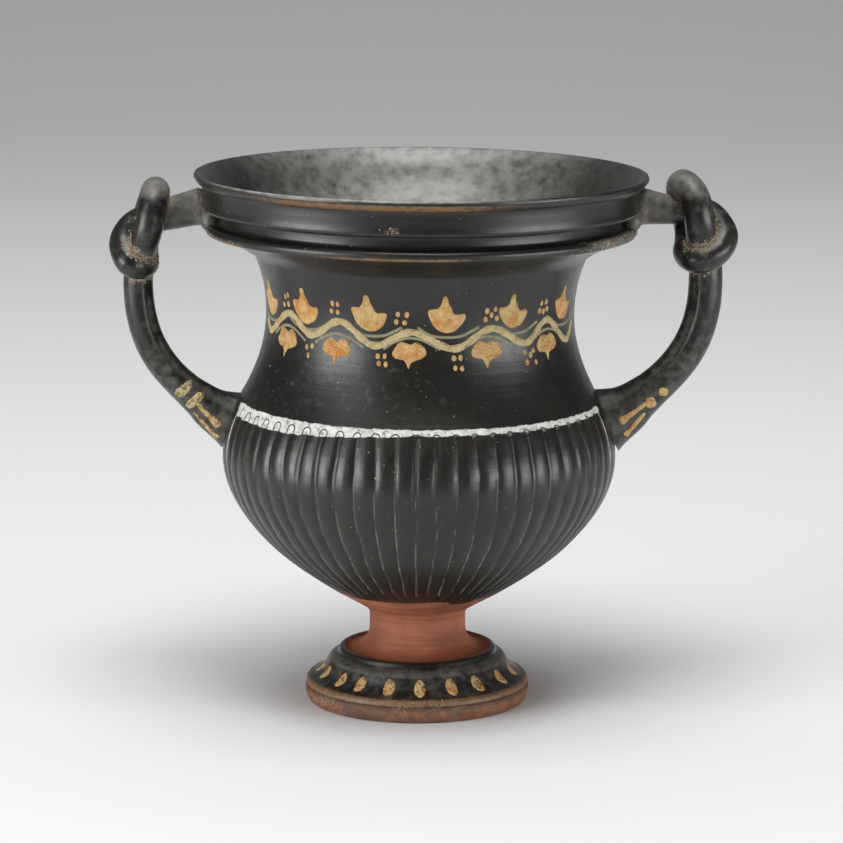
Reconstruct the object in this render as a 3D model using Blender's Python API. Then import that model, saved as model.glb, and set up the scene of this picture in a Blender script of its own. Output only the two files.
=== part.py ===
"""Kantharos: a black-gloss drinking cup with a ribbed bowl and knotted handles.

The foot, stem, bowl, neck, rim and both handles are one fired-clay piece, so
they are joined into one hollow solid. Lengths are in metres and +Z is up. The
cup stands on z = 0, and X runs from the left handle to the right one. The
shown side faces -Y, and an azimuth is measured from there towards +X.
"""

import math

import bmesh
import bpy
from mathutils import Vector

# Foot, from its resting edge up to the dish round the stem.
REST_RADIUS = 0.0320
REST_WIDTH = 0.0055
FOOT_RADIUS = 0.0331
FOOT_EDGE_HEIGHT = 0.0038
FOOT_ROLL_HEIGHT = 0.0070
FOOT_ROLL_DEPTH = 0.0021
FOOT_COVE_SINK = 0.0003
FOOT_SHOULDER_WIDTH = 0.0022
FOOT_SHOULDER_DROP = 0.0036
FOOT_RING_RADIUS = 0.0234
FOOT_RING_HEIGHT = 0.0158
FOOT_RING_WIDTH = 0.0027
FOOT_DISH_DROP = 0.0006
FOOT_HOLLOW_HEIGHT = 0.0070

# Stem between the foot and the bowl, with a low ring at its top.
STEM_RADIUS = 0.0142
STEM_BASE_HEIGHT = 0.0215
STEM_TOP_HEIGHT = 0.0272
STEM_RING_PROUD = 0.0004
STEM_RING_HEIGHT = 0.0010

# Bowl and neck: heights, radii there, and how fast the radius grows upwards.
RIB_FOOT_HEIGHT = 0.0344
RIB_FOOT_RADIUS = 0.0265
LOWER_BOWL_HEIGHT = 0.0480
LOWER_BOWL_RADIUS = 0.0445
BELLY_HEIGHT = 0.0735
BELLY_RADIUS = 0.0577
SHOULDER_HEIGHT = 0.0915
SHOULDER_RADIUS = 0.0522
NECK_HEIGHT = 0.1160
NECK_RADIUS = 0.0450
THROAT_HEIGHT = 0.1330
THROAT_RADIUS = 0.0486
STEM_TOP_FLARE = 1.30
RIB_FOOT_FLARE = 1.55
LOWER_BOWL_FLARE = 1.00
SHOULDER_FLARE = -0.56
THROAT_FLARE = 0.46

# Rim: a rolled lip, an upright fascia, and a flange under a narrow groove.
RIM_RADIUS = 0.0660
RIM_HEIGHT = 0.1565
LIP_ROLL = 0.0010
FASCIA_RADIUS = 0.0637
FASCIA_TOP_DROP = 0.0032
FASCIA_HEIGHT = 0.0071
FASCIA_TAPER = 0.0002
RIM_GROOVE_HEIGHT = 0.0024
RIM_GROOVE_DEPTH = 0.0028
FLANGE_RADIUS = 0.0629
FLANGE_HEIGHT = 0.0046
FLANGE_ROLL = 0.0010
THROAT_HOLLOW = 0.0015

# Wall and floor of the cup.
WALL = 0.0038
RIM_WALL = 0.0052
FLOOR_HEIGHT = 0.0362

# Reeded panels, one on the front and one on the back.
RIBS_PER_PANEL = 26
PANEL_HALF_ANGLE = math.radians(77.1)
PANEL_TURN = math.radians(-0.9)
RIB_DEPTH = 0.0007
RIB_TOP_HEIGHT = 0.0872
BAND_TOP_HEIGHT = 0.0900
RIB_FLAT_SHARE = 0.27
RIB_RUNOUT = 0.0016

# The cup leans a little to the right over its foot, which stands level.
FOOT_SHIFT = -0.0014
LEAN = 0.0090

# Handles: a strand from the rim's fascia, its knot, and a loop down to the bowl.
STRAND_RADIUS = 0.0042
ARM_DROP = 0.0099
ARM_ROOT_RADIUS = 0.0054
ARM_ROOT_PROUD = 0.0006
KNOT_DROP = 0.0155
LOOP_DROP = 0.0232
ROOT_HEIGHT = 0.0832
ROOT_RISE = math.radians(38)
ROOT_PULL = 0.0180
ROOT_GROWTH = 1.30
ROOT_STRETCH = 1.50
ROOT_FLARE_START = 0.60
LOWER_STRETCH = 1.08

# Facets round the turned parts and the strands, and rows along them.
SMOOTH_COLUMNS = 44
INNER_COLUMNS = 36
PLAIN_COLUMNS = 3
DISH_ROWS = 4
STEM_ROWS = 3
BOWL_ROWS = 7
NECK_ROWS = 9
INNER_ROWS = 11
LOWER_ROWS = 10
STRAND_SIDES = 8
STRAND_STEP = 0.0036
SHARP_ANGLE = math.radians(35)

# Finishes: linear colour and roughness of the slip and of the clay without it.
GLOSS_COLOUR = (0.030, 0.030, 0.027)
GLOSS_ROUGHNESS = 0.34
CLAY_COLOUR = (0.42, 0.155, 0.085)
CLAY_ROUGHNESS = 0.72

# The overhand knots were tied by hand and differ. Each station is outward,
# forward and up from the knot's middle, and its thickness, in strand radii.
LEFT_KNOT = (
    (-1.80, 0.00, 0.85, 1.12),
    (-0.36, -0.07, 0.50, 1.06),
    (0.87, -0.10, -0.10, 1.00),
    (1.48, 0.52, -1.20, 0.98),
    (0.94, 1.76, -2.34, 0.94),
    (-0.02, 1.05, -2.60, 0.90),
    (0.06, -0.76, -1.82, 0.92),
    (0.08, -1.90, 0.08, 0.94),
    (-0.46, -1.50, 1.80, 0.96),
    (-0.76, 0.00, 2.42, 0.99),
    (-0.70, 1.50, 1.80, 1.00),
    (-0.44, 1.96, 0.24, 1.00),
    (0.00, 1.48, -1.20, 0.98),
    (0.42, 0.15, -2.64, 1.00),
    (0.52, 0.00, -3.96, 1.03),
)
RIGHT_KNOT = (
    (-1.95, 0.00, 0.60, 0.99),
    (-0.60, -0.07, 0.50, 0.98),
    (0.80, -0.07, 0.22, 0.98),
    (1.69, 0.72, -1.10, 1.00),
    (1.05, 1.62, -2.15, 1.00),
    (-0.15, 1.74, -2.60, 0.98),
    (-0.76, 0.50, -2.38, 1.00),
    (-0.60, -1.00, -1.70, 0.98),
    (-0.62, -1.86, -0.60, 0.98),
    (-1.12, -1.68, 1.45, 1.02),
    (-1.10, 0.00, 2.36, 1.05),
    (-0.45, 1.55, 1.72, 1.06),
    (-0.08, 1.86, 0.21, 1.06),
    (0.10, 1.48, -1.05, 1.06),
    (0.48, 0.20, -2.60, 1.12),
    (0.54, 0.00, -4.30, 1.18),
)

# Name, side of the cup, reach of the knot past the fascia, its lift, its stations.
HANDLES = (
    ("left", -1, 0.0166, 0.0000, LEFT_KNOT),
    ("right", 1, 0.0170, 0.0021, RIGHT_KNOT),
)


def clear_scene():
    """Remove every object that is already in the scene."""
    for old in list(bpy.data.objects):
        bpy.data.objects.remove(old, do_unlink=True)


def make_material(name, colour, roughness):
    """Return a Principled material for one finish of the clay."""
    material = bpy.data.materials.new(name)
    material.use_nodes = True
    shader = material.node_tree.nodes["Principled BSDF"]
    shader.inputs["Base Color"].default_value = (*colour, 1.0)
    shader.inputs["Roughness"].default_value = roughness
    shader.inputs["Metallic"].default_value = 0.0
    return material


def wall_stations():
    """Return height, radius and flare of the bowl and neck, bottom to top."""
    return (
        (STEM_TOP_HEIGHT, STEM_RADIUS + STEM_RING_PROUD, STEM_TOP_FLARE),
        (RIB_FOOT_HEIGHT, RIB_FOOT_RADIUS, RIB_FOOT_FLARE),
        (LOWER_BOWL_HEIGHT, LOWER_BOWL_RADIUS, LOWER_BOWL_FLARE),
        (BELLY_HEIGHT, BELLY_RADIUS, 0.0),
        (SHOULDER_HEIGHT, SHOULDER_RADIUS, SHOULDER_FLARE),
        (NECK_HEIGHT, NECK_RADIUS, 0.0),
        (THROAT_HEIGHT, THROAT_RADIUS, THROAT_FLARE),
    )


def wall_radius(height):
    """Return the outer radius of the bowl or neck, and its flare, at a height."""
    stations = wall_stations()
    for low, high in zip(stations, stations[1:]):
        if height <= high[0] or high is stations[-1]:
            break
    span = high[0] - low[0]
    t = (height - low[0]) / span
    radius = (2 * t**3 - 3 * t**2 + 1) * low[1] + (3 * t**2 - 2 * t**3) * high[1]
    radius += span * ((t**3 - 2 * t**2 + t) * low[2] + (t**3 - t**2) * high[2])
    flare = (6 * t**2 - 6 * t) * (low[1] - high[1]) / span
    flare += (3 * t**2 - 4 * t + 1) * low[2] + (3 * t**2 - 2 * t) * high[2]
    return radius, flare


def spread(start, end, count):
    """Return count values from start to end, with start and without end."""
    return [start + (end - start) * step / count for step in range(count)]


def foot_profile():
    """Return radius and height pairs from the hollow under the foot to the stem."""
    rest_inner = REST_RADIUS - REST_WIDTH
    ring_inner = FOOT_RING_RADIUS - FOOT_RING_WIDTH
    roll_radius = FOOT_RADIUS - FOOT_ROLL_DEPTH
    shoulder_radius = FOOT_RING_RADIUS + FOOT_SHOULDER_WIDTH
    shoulder_height = FOOT_RING_HEIGHT - FOOT_SHOULDER_DROP
    cove_radius = (roll_radius + shoulder_radius) / 2 - FOOT_COVE_SINK
    cove_height = (FOOT_ROLL_HEIGHT + shoulder_height) / 2 - FOOT_COVE_SINK
    points = [
        (rest_inner * 0.45, FOOT_HOLLOW_HEIGHT),
        (rest_inner * 0.92, FOOT_HOLLOW_HEIGHT * 0.4),
        (rest_inner, 0.0),
        (REST_RADIUS, 0.0),
        (FOOT_RADIUS - FOOT_ROLL_DEPTH * 0.1, FOOT_EDGE_HEIGHT * 0.45),
        (FOOT_RADIUS, FOOT_EDGE_HEIGHT),
        (FOOT_RADIUS - FOOT_ROLL_DEPTH * 0.25, (FOOT_EDGE_HEIGHT + FOOT_ROLL_HEIGHT) / 2),
        (roll_radius, FOOT_ROLL_HEIGHT),
        (cove_radius, cove_height),
        (shoulder_radius, shoulder_height),
        (shoulder_radius - FOOT_SHOULDER_WIDTH * 0.45, shoulder_height + FOOT_SHOULDER_DROP * 0.33),
        (FOOT_RING_RADIUS, shoulder_height + FOOT_SHOULDER_DROP * 0.6),
        (FOOT_RING_RADIUS - FOOT_RING_WIDTH * 0.5, FOOT_RING_HEIGHT),
        (ring_inner, FOOT_RING_HEIGHT - FOOT_DISH_DROP * 0.5),
    ]
    dish_height = FOOT_RING_HEIGHT - FOOT_DISH_DROP
    for step in range(1, DISH_ROWS + 1):
        angle = math.pi / 2 * step / DISH_ROWS
        radius = ring_inner - (ring_inner - STEM_RADIUS) * math.sin(angle)
        rise = (STEM_BASE_HEIGHT - dish_height) * (1 - math.cos(angle))
        points.append((radius, dish_height + rise))
    points.append((STEM_RADIUS, STEM_TOP_HEIGHT - STEM_RING_HEIGHT))
    return points


def rim_profile():
    """Return radius and height pairs from the throat over the lip to the inside."""
    fascia_top = RIM_HEIGHT - FASCIA_TOP_DROP
    fascia_foot = fascia_top - FASCIA_HEIGHT
    groove_foot = fascia_foot - RIM_GROOVE_HEIGHT
    flange_foot = groove_foot - FLANGE_HEIGHT
    throat_middle = (THROAT_HEIGHT + flange_foot) / 2
    throat_radius = (THROAT_RADIUS + FLANGE_RADIUS) / 2 - THROAT_HOLLOW
    return [
        (throat_radius, throat_middle + THROAT_HOLLOW * 0.3),
        (FLANGE_RADIUS - FLANGE_ROLL, flange_foot),
        (FLANGE_RADIUS, flange_foot + FLANGE_ROLL * 0.8),
        (FLANGE_RADIUS - FLANGE_ROLL * 0.1, flange_foot + FLANGE_ROLL * 1.6),
        (FASCIA_RADIUS - RIM_GROOVE_DEPTH * 0.9, groove_foot),
        (FASCIA_RADIUS - RIM_GROOVE_DEPTH, fascia_foot - RIM_GROOVE_HEIGHT * 0.33),
        (FASCIA_RADIUS, fascia_foot),
        (FASCIA_RADIUS - FASCIA_TAPER, fascia_top),
        (RIM_RADIUS - LIP_ROLL * 0.3, RIM_HEIGHT - LIP_ROLL * 1.4),
        (RIM_RADIUS + LIP_ROLL * 0.2, RIM_HEIGHT - LIP_ROLL * 0.6),
        (RIM_RADIUS - LIP_ROLL * 0.2, RIM_HEIGHT),
        (RIM_RADIUS - LIP_ROLL * 1.6, RIM_HEIGHT - LIP_ROLL * 0.6),
        (FASCIA_RADIUS - RIM_WALL * 0.55, fascia_top - LIP_ROLL),
        (FASCIA_RADIUS - RIM_WALL, fascia_foot + LIP_ROLL * 1.4),
        (FLANGE_RADIUS - RIM_WALL * 1.6, groove_foot - RIM_GROOVE_HEIGHT * 0.5),
        (THROAT_RADIUS - WALL * 0.2, throat_middle + (flange_foot - throat_middle) * 0.2),
    ]


def inner_profile():
    """Return radius and height pairs down the inside, one wall in from the outside."""
    heights = spread(THROAT_HEIGHT - WALL, RIB_FOOT_HEIGHT, INNER_ROWS) + [RIB_FOOT_HEIGHT]
    points = []
    for height in heights:
        radius, flare = wall_radius(height)
        slant = math.sqrt(1 + flare**2)
        points.append((radius - WALL / slant, height + WALL * flare / slant))
    return points


def smooth_azimuths(count):
    """Return evenly spaced azimuths."""
    return spread(0.0, 2 * math.pi, count)


def ribbed_azimuths():
    """Return azimuths round the reeded bowl, each with its share of a groove."""
    pitch = 2 * PANEL_HALF_ANGLE / RIBS_PER_PANEL
    plain = math.pi - 2 * PANEL_HALF_ANGLE
    azimuths = []
    for panel in (0.0, math.pi):
        start = panel + PANEL_TURN - PANEL_HALF_ANGLE
        for rib in range(RIBS_PER_PANEL):
            azimuths.append((start + pitch * rib, 1.0))
            azimuths.append((start + pitch * (rib + RIB_FLAT_SHARE), 0.0))
            azimuths.append((start + pitch * (rib + 1 - RIB_FLAT_SHARE), 0.0))
        end = start + 2 * PANEL_HALF_ANGLE
        azimuths.append((end, 1.0))
        for column in range(PLAIN_COLUMNS):
            azimuths.append((end + plain * (column + 1) / (PLAIN_COLUMNS + 1), 0.0))
    return azimuths


def lean_of(height):
    """Return how far the cup's axis stands to the right at a height."""
    return FOOT_SHIFT + LEAN * height


def add_ring(mesh, azimuths, radius, height, depth=0.0):
    """Add a ring of vertices square to the leaning axis, grooved where marked."""
    settled = (height - FOOT_RING_HEIGHT) / (STEM_TOP_HEIGHT - FOOT_RING_HEIGHT)
    slope = LEAN * min(max(settled, 0.0), 1.0)
    ring = []
    for entry in azimuths:
        azimuth, share = entry if isinstance(entry, tuple) else (entry, 0.0)
        reach = radius - depth * share
        across = reach * math.sin(azimuth)
        place = (lean_of(height) + across, -reach * math.cos(azimuth), height - slope * across)
        ring.append((azimuth, mesh.verts.new(place)))
    return ring


def stitch(mesh, low, high):
    """Join two rings of vertices with triangles, whatever their counts."""
    start = low[0][0]
    rings = []
    for ring in (low, high):
        turned = sorted(((azimuth - start + 1e-9) % (2 * math.pi), vert) for azimuth, vert in ring)
        rings.append(turned + [(turned[0][0] + 2 * math.pi, turned[0][1])])
    lower, upper = rings
    i = j = 0
    while i < len(lower) - 1 or j < len(upper) - 1:
        step_low = j == len(upper) - 1
        if i < len(lower) - 1 and j < len(upper) - 1:
            step_low = lower[i + 1][0] <= upper[j + 1][0]
        if step_low:
            mesh.faces.new((lower[i][1], lower[i + 1][1], upper[j][1]))
            i += 1
        else:
            mesh.faces.new((lower[i][1], upper[j + 1][1], upper[j][1]))
            j += 1


def close_ring(mesh, ring, height, is_start):
    """Close a ring with a fan to a vertex on the axis."""
    centre = mesh.verts.new((lean_of(height), 0.0, height))
    for (_, here), (_, there) in zip(ring, ring[1:] + ring[:1]):
        corners = (centre, there, here) if is_start else (here, there, centre)
        mesh.faces.new(corners)


def build_cup(clay, gloss):
    """Build the turned and reeded cup, hollow and open at the mouth."""
    mesh = bmesh.new()
    smooth = smooth_azimuths(SMOOTH_COLUMNS)
    ribbed = ribbed_azimuths()
    inside = smooth_azimuths(INNER_COLUMNS)
    rings = [add_ring(mesh, smooth, *point) for point in foot_profile()]
    first = rings[0]
    for height in spread(STEM_TOP_HEIGHT, RIB_FOOT_HEIGHT, STEM_ROWS):
        rings.append(add_ring(mesh, smooth, wall_radius(height)[0], height))
    rib_rows = [RIB_FOOT_HEIGHT]
    rib_rows += spread(RIB_FOOT_HEIGHT + RIB_RUNOUT, RIB_TOP_HEIGHT, BOWL_ROWS)
    for height in rib_rows + [RIB_TOP_HEIGHT]:
        depth = RIB_DEPTH * (0.5 if height == RIB_FOOT_HEIGHT else 1.0)
        rings.append(add_ring(mesh, ribbed, wall_radius(height)[0], height, depth))
    rings.append(add_ring(mesh, ribbed, wall_radius(BAND_TOP_HEIGHT)[0], BAND_TOP_HEIGHT))
    neck_rows = spread(BAND_TOP_HEIGHT, THROAT_HEIGHT, NECK_ROWS)[1:] + [THROAT_HEIGHT]
    for height in neck_rows:
        rings.append(add_ring(mesh, smooth, wall_radius(height)[0], height))
    rings += [add_ring(mesh, smooth, *point) for point in rim_profile()]
    rings += [add_ring(mesh, inside, *point) for point in inner_profile()]
    for low, high in zip(rings, rings[1:]):
        stitch(mesh, low, high)
    close_ring(mesh, first, FOOT_HOLLOW_HEIGHT * 1.15, True)
    close_ring(mesh, rings[-1], FLOOR_HEIGHT, False)
    data = bpy.data.meshes.new("kantharos")
    mesh.to_mesh(data)
    mesh.free()
    data.materials.append(gloss)
    data.materials.append(clay)
    for face in data.polygons:
        face.material_index = int(FOOT_RING_HEIGHT < face.center.z < RIB_FOOT_HEIGHT)
    return data


def knot_points(side, reach, lift, stations):
    """Return a knot's stations in place, each with its radius and stretch."""
    unit = STRAND_RADIUS
    height = RIM_HEIGHT - KNOT_DROP + lift
    middle = lean_of(height) + side * (FASCIA_RADIUS + reach)
    points = []
    for outward, forward, up, thickness in stations:
        place = Vector((middle + side * outward * unit, -forward * unit, height + up * unit))
        points.append((place, thickness * unit, 1.0))
    return points


def arm_points(side):
    """Return the stations from inside the rim's wall to the outside of its fascia."""
    height = RIM_HEIGHT - ARM_DROP
    axis = lean_of(height)
    within = Vector((axis + side * (FASCIA_RADIUS - RIM_WALL * 0.60), 0.0, height))
    outside = Vector((axis + side * (FASCIA_RADIUS + ARM_ROOT_PROUD), 0.0, height))
    return [(within, STRAND_RADIUS * 0.85, 1.0), (outside, ARM_ROOT_RADIUS, 1.0)]


def lower_points(side, start, radius):
    """Return stations of the lower handle, from the knot down into the bowl's wall."""
    wall = wall_radius(ROOT_HEIGHT)[0]
    axis = lean_of(ROOT_HEIGHT)
    end = Vector((axis + side * wall, 0.0, ROOT_HEIGHT))
    pull_down = start - Vector((0.0, 0.0, LOOP_DROP))
    rise = Vector((side * math.cos(ROOT_RISE), 0.0, math.sin(ROOT_RISE)))
    pull_out = end + rise * ROOT_PULL
    points = []
    for step in range(1, LOWER_ROWS):
        t = step / LOWER_ROWS
        place = (1 - t) ** 3 * start + 3 * t * (1 - t) ** 2 * pull_down
        place += 3 * t**2 * (1 - t) * pull_out + t**3 * end
        flare = max(0.0, (t - ROOT_FLARE_START) / (1 - ROOT_FLARE_START)) ** 2
        growth = 1 + (ROOT_GROWTH - 1) * flare
        stretch = 1 + (LOWER_STRETCH - 1) * t + (ROOT_STRETCH - LOWER_STRETCH) * flare
        points.append((place, radius * growth, stretch))
    root = Vector((axis + side * (wall - WALL * 0.5), 0.0, ROOT_HEIGHT))
    points.append((root, radius * ROOT_GROWTH, ROOT_STRETCH))
    return points


def smooth_path(stations):
    """Return evenly stepped points on a smooth curve through the stations."""
    path = []
    ends = [stations[0]] + list(stations) + [stations[-1]]
    for a, b, c, d in zip(ends, ends[1:], ends[2:], ends[3:]):
        steps = max(1, round((c[0] - b[0]).length / STRAND_STEP))
        for step in range(steps):
            t = step / steps
            place = b[0] + (c[0] - a[0]) * t / 2
            place += (2 * a[0] - 5 * b[0] + 4 * c[0] - d[0]) * t**2 / 2
            place += (3 * b[0] - a[0] - 3 * c[0] + d[0]) * t**3 / 2
            path.append((place, b[1] + (c[1] - b[1]) * t, b[2] + (c[2] - b[2]) * t))
    path.append(stations[-1])
    return path


def sweep_strand(name, path):
    """Sweep an oval section along a path, turning with it, and cap both ends."""
    mesh = bmesh.new()
    heading = (path[1][0] - path[0][0]).normalized()
    sideways = Vector((0.0, 1.0, 0.0))
    across = sideways
    rings = []
    for index, (place, radius, stretch) in enumerate(path):
        before = path[max(index - 1, 0)][0]
        after = path[min(index + 1, len(path) - 1)][0]
        new_heading = (after - before).normalized()
        across = heading.rotation_difference(new_heading) @ across
        heading = new_heading
        across = (across - heading * across.dot(heading)).normalized()
        up = heading.cross(across)
        tall = heading.cross(sideways)
        ring = []
        for side in range(STRAND_SIDES):
            angle = 2 * math.pi * (side + 0.5) / STRAND_SIDES
            spoke = radius * (math.cos(angle) * across + math.sin(angle) * up)
            spoke += (stretch - 1) * spoke.dot(tall) * tall
            ring.append(mesh.verts.new(place + spoke))
        rings.append(ring)
    for low, high in zip(rings, rings[1:]):
        for side in range(STRAND_SIDES):
            nxt = (side + 1) % STRAND_SIDES
            mesh.faces.new((low[side], low[nxt], high[nxt], high[side]))
    mesh.faces.new(list(reversed(rings[0])))
    mesh.faces.new(rings[-1])
    data = bpy.data.meshes.new(name)
    mesh.to_mesh(data)
    mesh.free()
    return data


def build_handle(name, side, reach, lift, stations):
    """Build one handle: the arm from the rim, the knot and the loop to the bowl."""
    arm = arm_points(side)
    knot = knot_points(side, reach, lift, stations)
    lower = lower_points(side, knot[-1][0], knot[-1][1])
    data = sweep_strand(name + "_handle", smooth_path(arm + knot + lower))
    handle = bpy.data.objects.new(name + "_handle", data)
    bpy.context.scene.collection.objects.link(handle)
    handle.hide_render = True
    handle.display_type = "WIRE"
    return handle


def main():
    """Build the whole cup as one joined solid."""
    clear_scene()
    gloss = make_material("black_gloss", GLOSS_COLOUR, GLOSS_ROUGHNESS)
    clay = make_material("bare_clay", CLAY_COLOUR, CLAY_ROUGHNESS)
    cup = bpy.data.objects.new("kantharos", build_cup(clay, gloss))
    bpy.context.scene.collection.objects.link(cup)
    for entry in HANDLES:
        join = cup.modifiers.new(entry[0] + "_join", "BOOLEAN")
        join.operation = "UNION"
        join.solver = "EXACT"
        join.use_self = True
        join.object = build_handle(*entry)
    cup.data.shade_smooth()
    cup.data.set_sharp_from_angle(angle=SHARP_ANGLE)


main()
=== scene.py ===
# %% [markdown]
# # A black-gloss drinking cup with knotted handles
# This lesson dresses a imported model of a kantharos, a two-handled pottery cup
# for wine. The potter threw the foot, bowl and neck on a wheel, cut upright
# ribs into the bowl, tied two rolls of clay into overhand knots for handles,
# and coated it all with a fine slip that fired black and glossy. The ivy, the
# dots and the dashes were brushed on afterwards in cream slip. Every size here
# is a real one in millimetres, and the frame is in metres.

import math

import bpy
import numpy as np
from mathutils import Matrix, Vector
from mathutils.geometry import delaunay_2d_cdt


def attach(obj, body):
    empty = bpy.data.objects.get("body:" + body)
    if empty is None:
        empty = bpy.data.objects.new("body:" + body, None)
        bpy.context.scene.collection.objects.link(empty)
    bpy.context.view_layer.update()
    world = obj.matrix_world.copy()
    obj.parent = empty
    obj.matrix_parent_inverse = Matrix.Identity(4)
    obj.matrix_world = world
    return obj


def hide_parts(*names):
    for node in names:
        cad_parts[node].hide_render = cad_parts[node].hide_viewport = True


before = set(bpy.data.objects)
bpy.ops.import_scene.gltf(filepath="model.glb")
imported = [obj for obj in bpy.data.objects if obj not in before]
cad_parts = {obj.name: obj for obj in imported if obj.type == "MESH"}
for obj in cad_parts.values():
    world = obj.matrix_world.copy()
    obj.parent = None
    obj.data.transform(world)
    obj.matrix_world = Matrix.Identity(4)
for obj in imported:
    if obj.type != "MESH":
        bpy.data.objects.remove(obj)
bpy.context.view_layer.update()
scene = bpy.context.scene

# %% [markdown]
# ## Helpers
# One function turns the sRGB colours that a maker would pick into the linear
# ones that the renderer works in. Another adds a node to any tree, with its
# settings and its links. A third adds a list of steps, one node for each: a
# step has a name, a kind of node, its mode and its inputs in their own order,
# and a text among the inputs names an earlier step. So each tree below reads
# as a recipe. A MapRange step takes a value, the range that it comes from and
# the range that it goes to.

# %% Colour and node helpers
MM = 0.001


def linear(hex_colour):
    """Return a linear colour with alpha for an sRGB hex value."""
    channels = [int(hex_colour[place:place + 2], 16) / 255 for place in (1, 3, 5)]
    return [c / 12.92 if c <= 0.04045 else ((c + 0.055) / 1.055) ** 2.4 for c in channels] + [1.0]


def add_node(tree, kind, inputs=None, **settings):
    """Add a node, set it up, and fill its inputs with values or with other nodes' outputs."""
    node = tree.nodes.new(kind)
    for name, value in settings.items():
        setattr(node, name, value)
    for key, value in (inputs or {}).items():
        if isinstance(value, bpy.types.Node):
            value = next(socket for socket in value.outputs if socket.enabled)
        if isinstance(value, bpy.types.NodeSocket):
            tree.links.new(value, node.inputs[key])
        else:
            node.inputs[key].default_value = value
    return node


MODES = {
    "Math": "operation", "VectorMath": "operation", "MapRange": "interpolation_type", "Mix": "data_type",
    "GeometryNodeInputNamedAttribute": "data_type", "FunctionNodeRandomValue": "data_type",
}


def follow(tree, known, steps):
    """Add a node for each step and keep it in known under the step's name."""
    for name, kind, mode, *inputs in steps:
        if inputs and isinstance(inputs[0], dict):
            given = inputs[0]
        else:
            given = dict(enumerate(inputs))
        links = {
            key: known.get(value, value) if isinstance(value, str) and key != "Name" else value
            for key, value in given.items()}
        settings = {MODES[kind]: mode} if isinstance(mode, str) else mode or {}
        whole_kind = kind if "Node" in kind else "ShaderNode" + kind
        known[name] = add_node(tree, whole_kind, links, **settings)


print("Mid grey in linear light:", round(linear("#808080")[0], 3))

# %% [markdown]
# ## The turned outline
# A thrown pot is its outline turned round an axis. The bowl and neck are one
# flowing curve, so they are given as a few stations with a slope each, and a
# cubic joins them. The foot and the rim have crisp mouldings, so they are
# corners, and each corner is rounded by a short curve, as a sponge leaves it.

# %% Sizes of the turned cup, in millimetres
FOOT_SHIFT = -1.4
LEAN = 0.0090
FOOT_RING_HEIGHT = 15.8
STEM_RADIUS = 14.2
STEM_FOOT_HEIGHT = 21.5
STEM_TOP_HEIGHT = 27.2
RIB_FOOT_HEIGHT = 34.4
THROAT_HEIGHT = 133.0
RIM_HEIGHT = 156.5
FASCIA_RADIUS = 63.7
WALL = 3.8
FLOOR_HEIGHT = 36.2

# Height, radius and how fast the radius grows with height.
WALL_STATIONS = (
    (27.2, 14.6, 1.30), (34.4, 26.5, 1.55), (48.0, 44.5, 1.00), (73.5, 57.7, 0.00),
    (91.5, 52.2, -0.56), (116.0, 45.0, 0.00), (133.0, 48.6, 0.46),
)
# Radius, height and how far the rounding reaches along each side of the corner.
FOOT_CORNERS = (
    (0.0, 8.0, 0.0), (12.0, 7.1, 4.0), (24.3, 2.9, 3.0), (26.5, 0.0, 0.5), (31.9, 0.0, 0.7),
    (33.0, 1.8, 0.9), (33.15, 4.4, 0.3), (32.65, 4.75, 0.15), (33.0, 5.15, 0.3), (32.7, 6.6, 0.8),
    (30.9, 7.2, 0.6), (28.0, 8.9, 1.8), (26.6, 11.7, 0.7), (25.6, 13.2, 0.9), (23.6, 13.9, 0.6),
    (23.0, 15.5, 0.6), (22.0, 15.8, 0.4), (20.7, 15.3, 0.3),
)
STEM_CORNERS = (
    (14.2, 26.2, 0.4), (14.75, 27.0, 0.4), (15.2, 27.7, 0.3),
)
RIM_CORNERS = (
    (54.3, 136.6, 1.8), (61.2, 139.0, 0.8), (62.8, 139.4, 0.5), (62.95, 141.1, 0.5),
    (62.3, 142.0, 0.5), (60.0, 142.1, 0.4), (59.2, 142.9, 0.5), (59.2, 145.5, 0.4),
    (59.8, 146.1, 0.3), (62.9, 146.1, 0.3), (63.6, 146.8, 0.5), (63.45, 148.6, 1.2),
    (63.7, 153.2, 0.5), (65.1, 154.0, 0.5), (66.15, 155.2, 0.5), (66.0, 156.4, 0.35),
    (65.0, 156.5, 0.4), (63.6, 155.4, 0.9), (60.8, 152.2, 3.0), (58.4, 147.6, 4.0),
    (54.6, 142.6, 4.0), (47.9, 136.7, 3.0),
)

# %% Functions for the outline of the wall and of the mouldings
def wall_radius(height):
    """Return the outer radius of the bowl or neck, and its slope, at each height."""
    stations = np.array(WALL_STATIONS)
    height = np.asarray(height, float)
    low = np.clip(np.searchsorted(stations[:, 0], height) - 1, 0, len(stations) - 2)
    z0, r0, m0 = stations[low].T
    z1, r1, m1 = stations[low + 1].T
    span = z1 - z0
    t = (height - z0) / span
    radius = (2 * t**3 - 3 * t**2 + 1) * r0 + (3 * t**2 - 2 * t**3) * r1
    radius += span * ((t**3 - 2 * t**2 + t) * m0 + (t**3 - t**2) * m1)
    slope = (6 * t**2 - 6 * t) * (r0 - r1) / span
    slope += (3 * t**2 - 4 * t + 1) * m0 + (3 * t**2 - 2 * t) * m1
    return radius, slope


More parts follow.
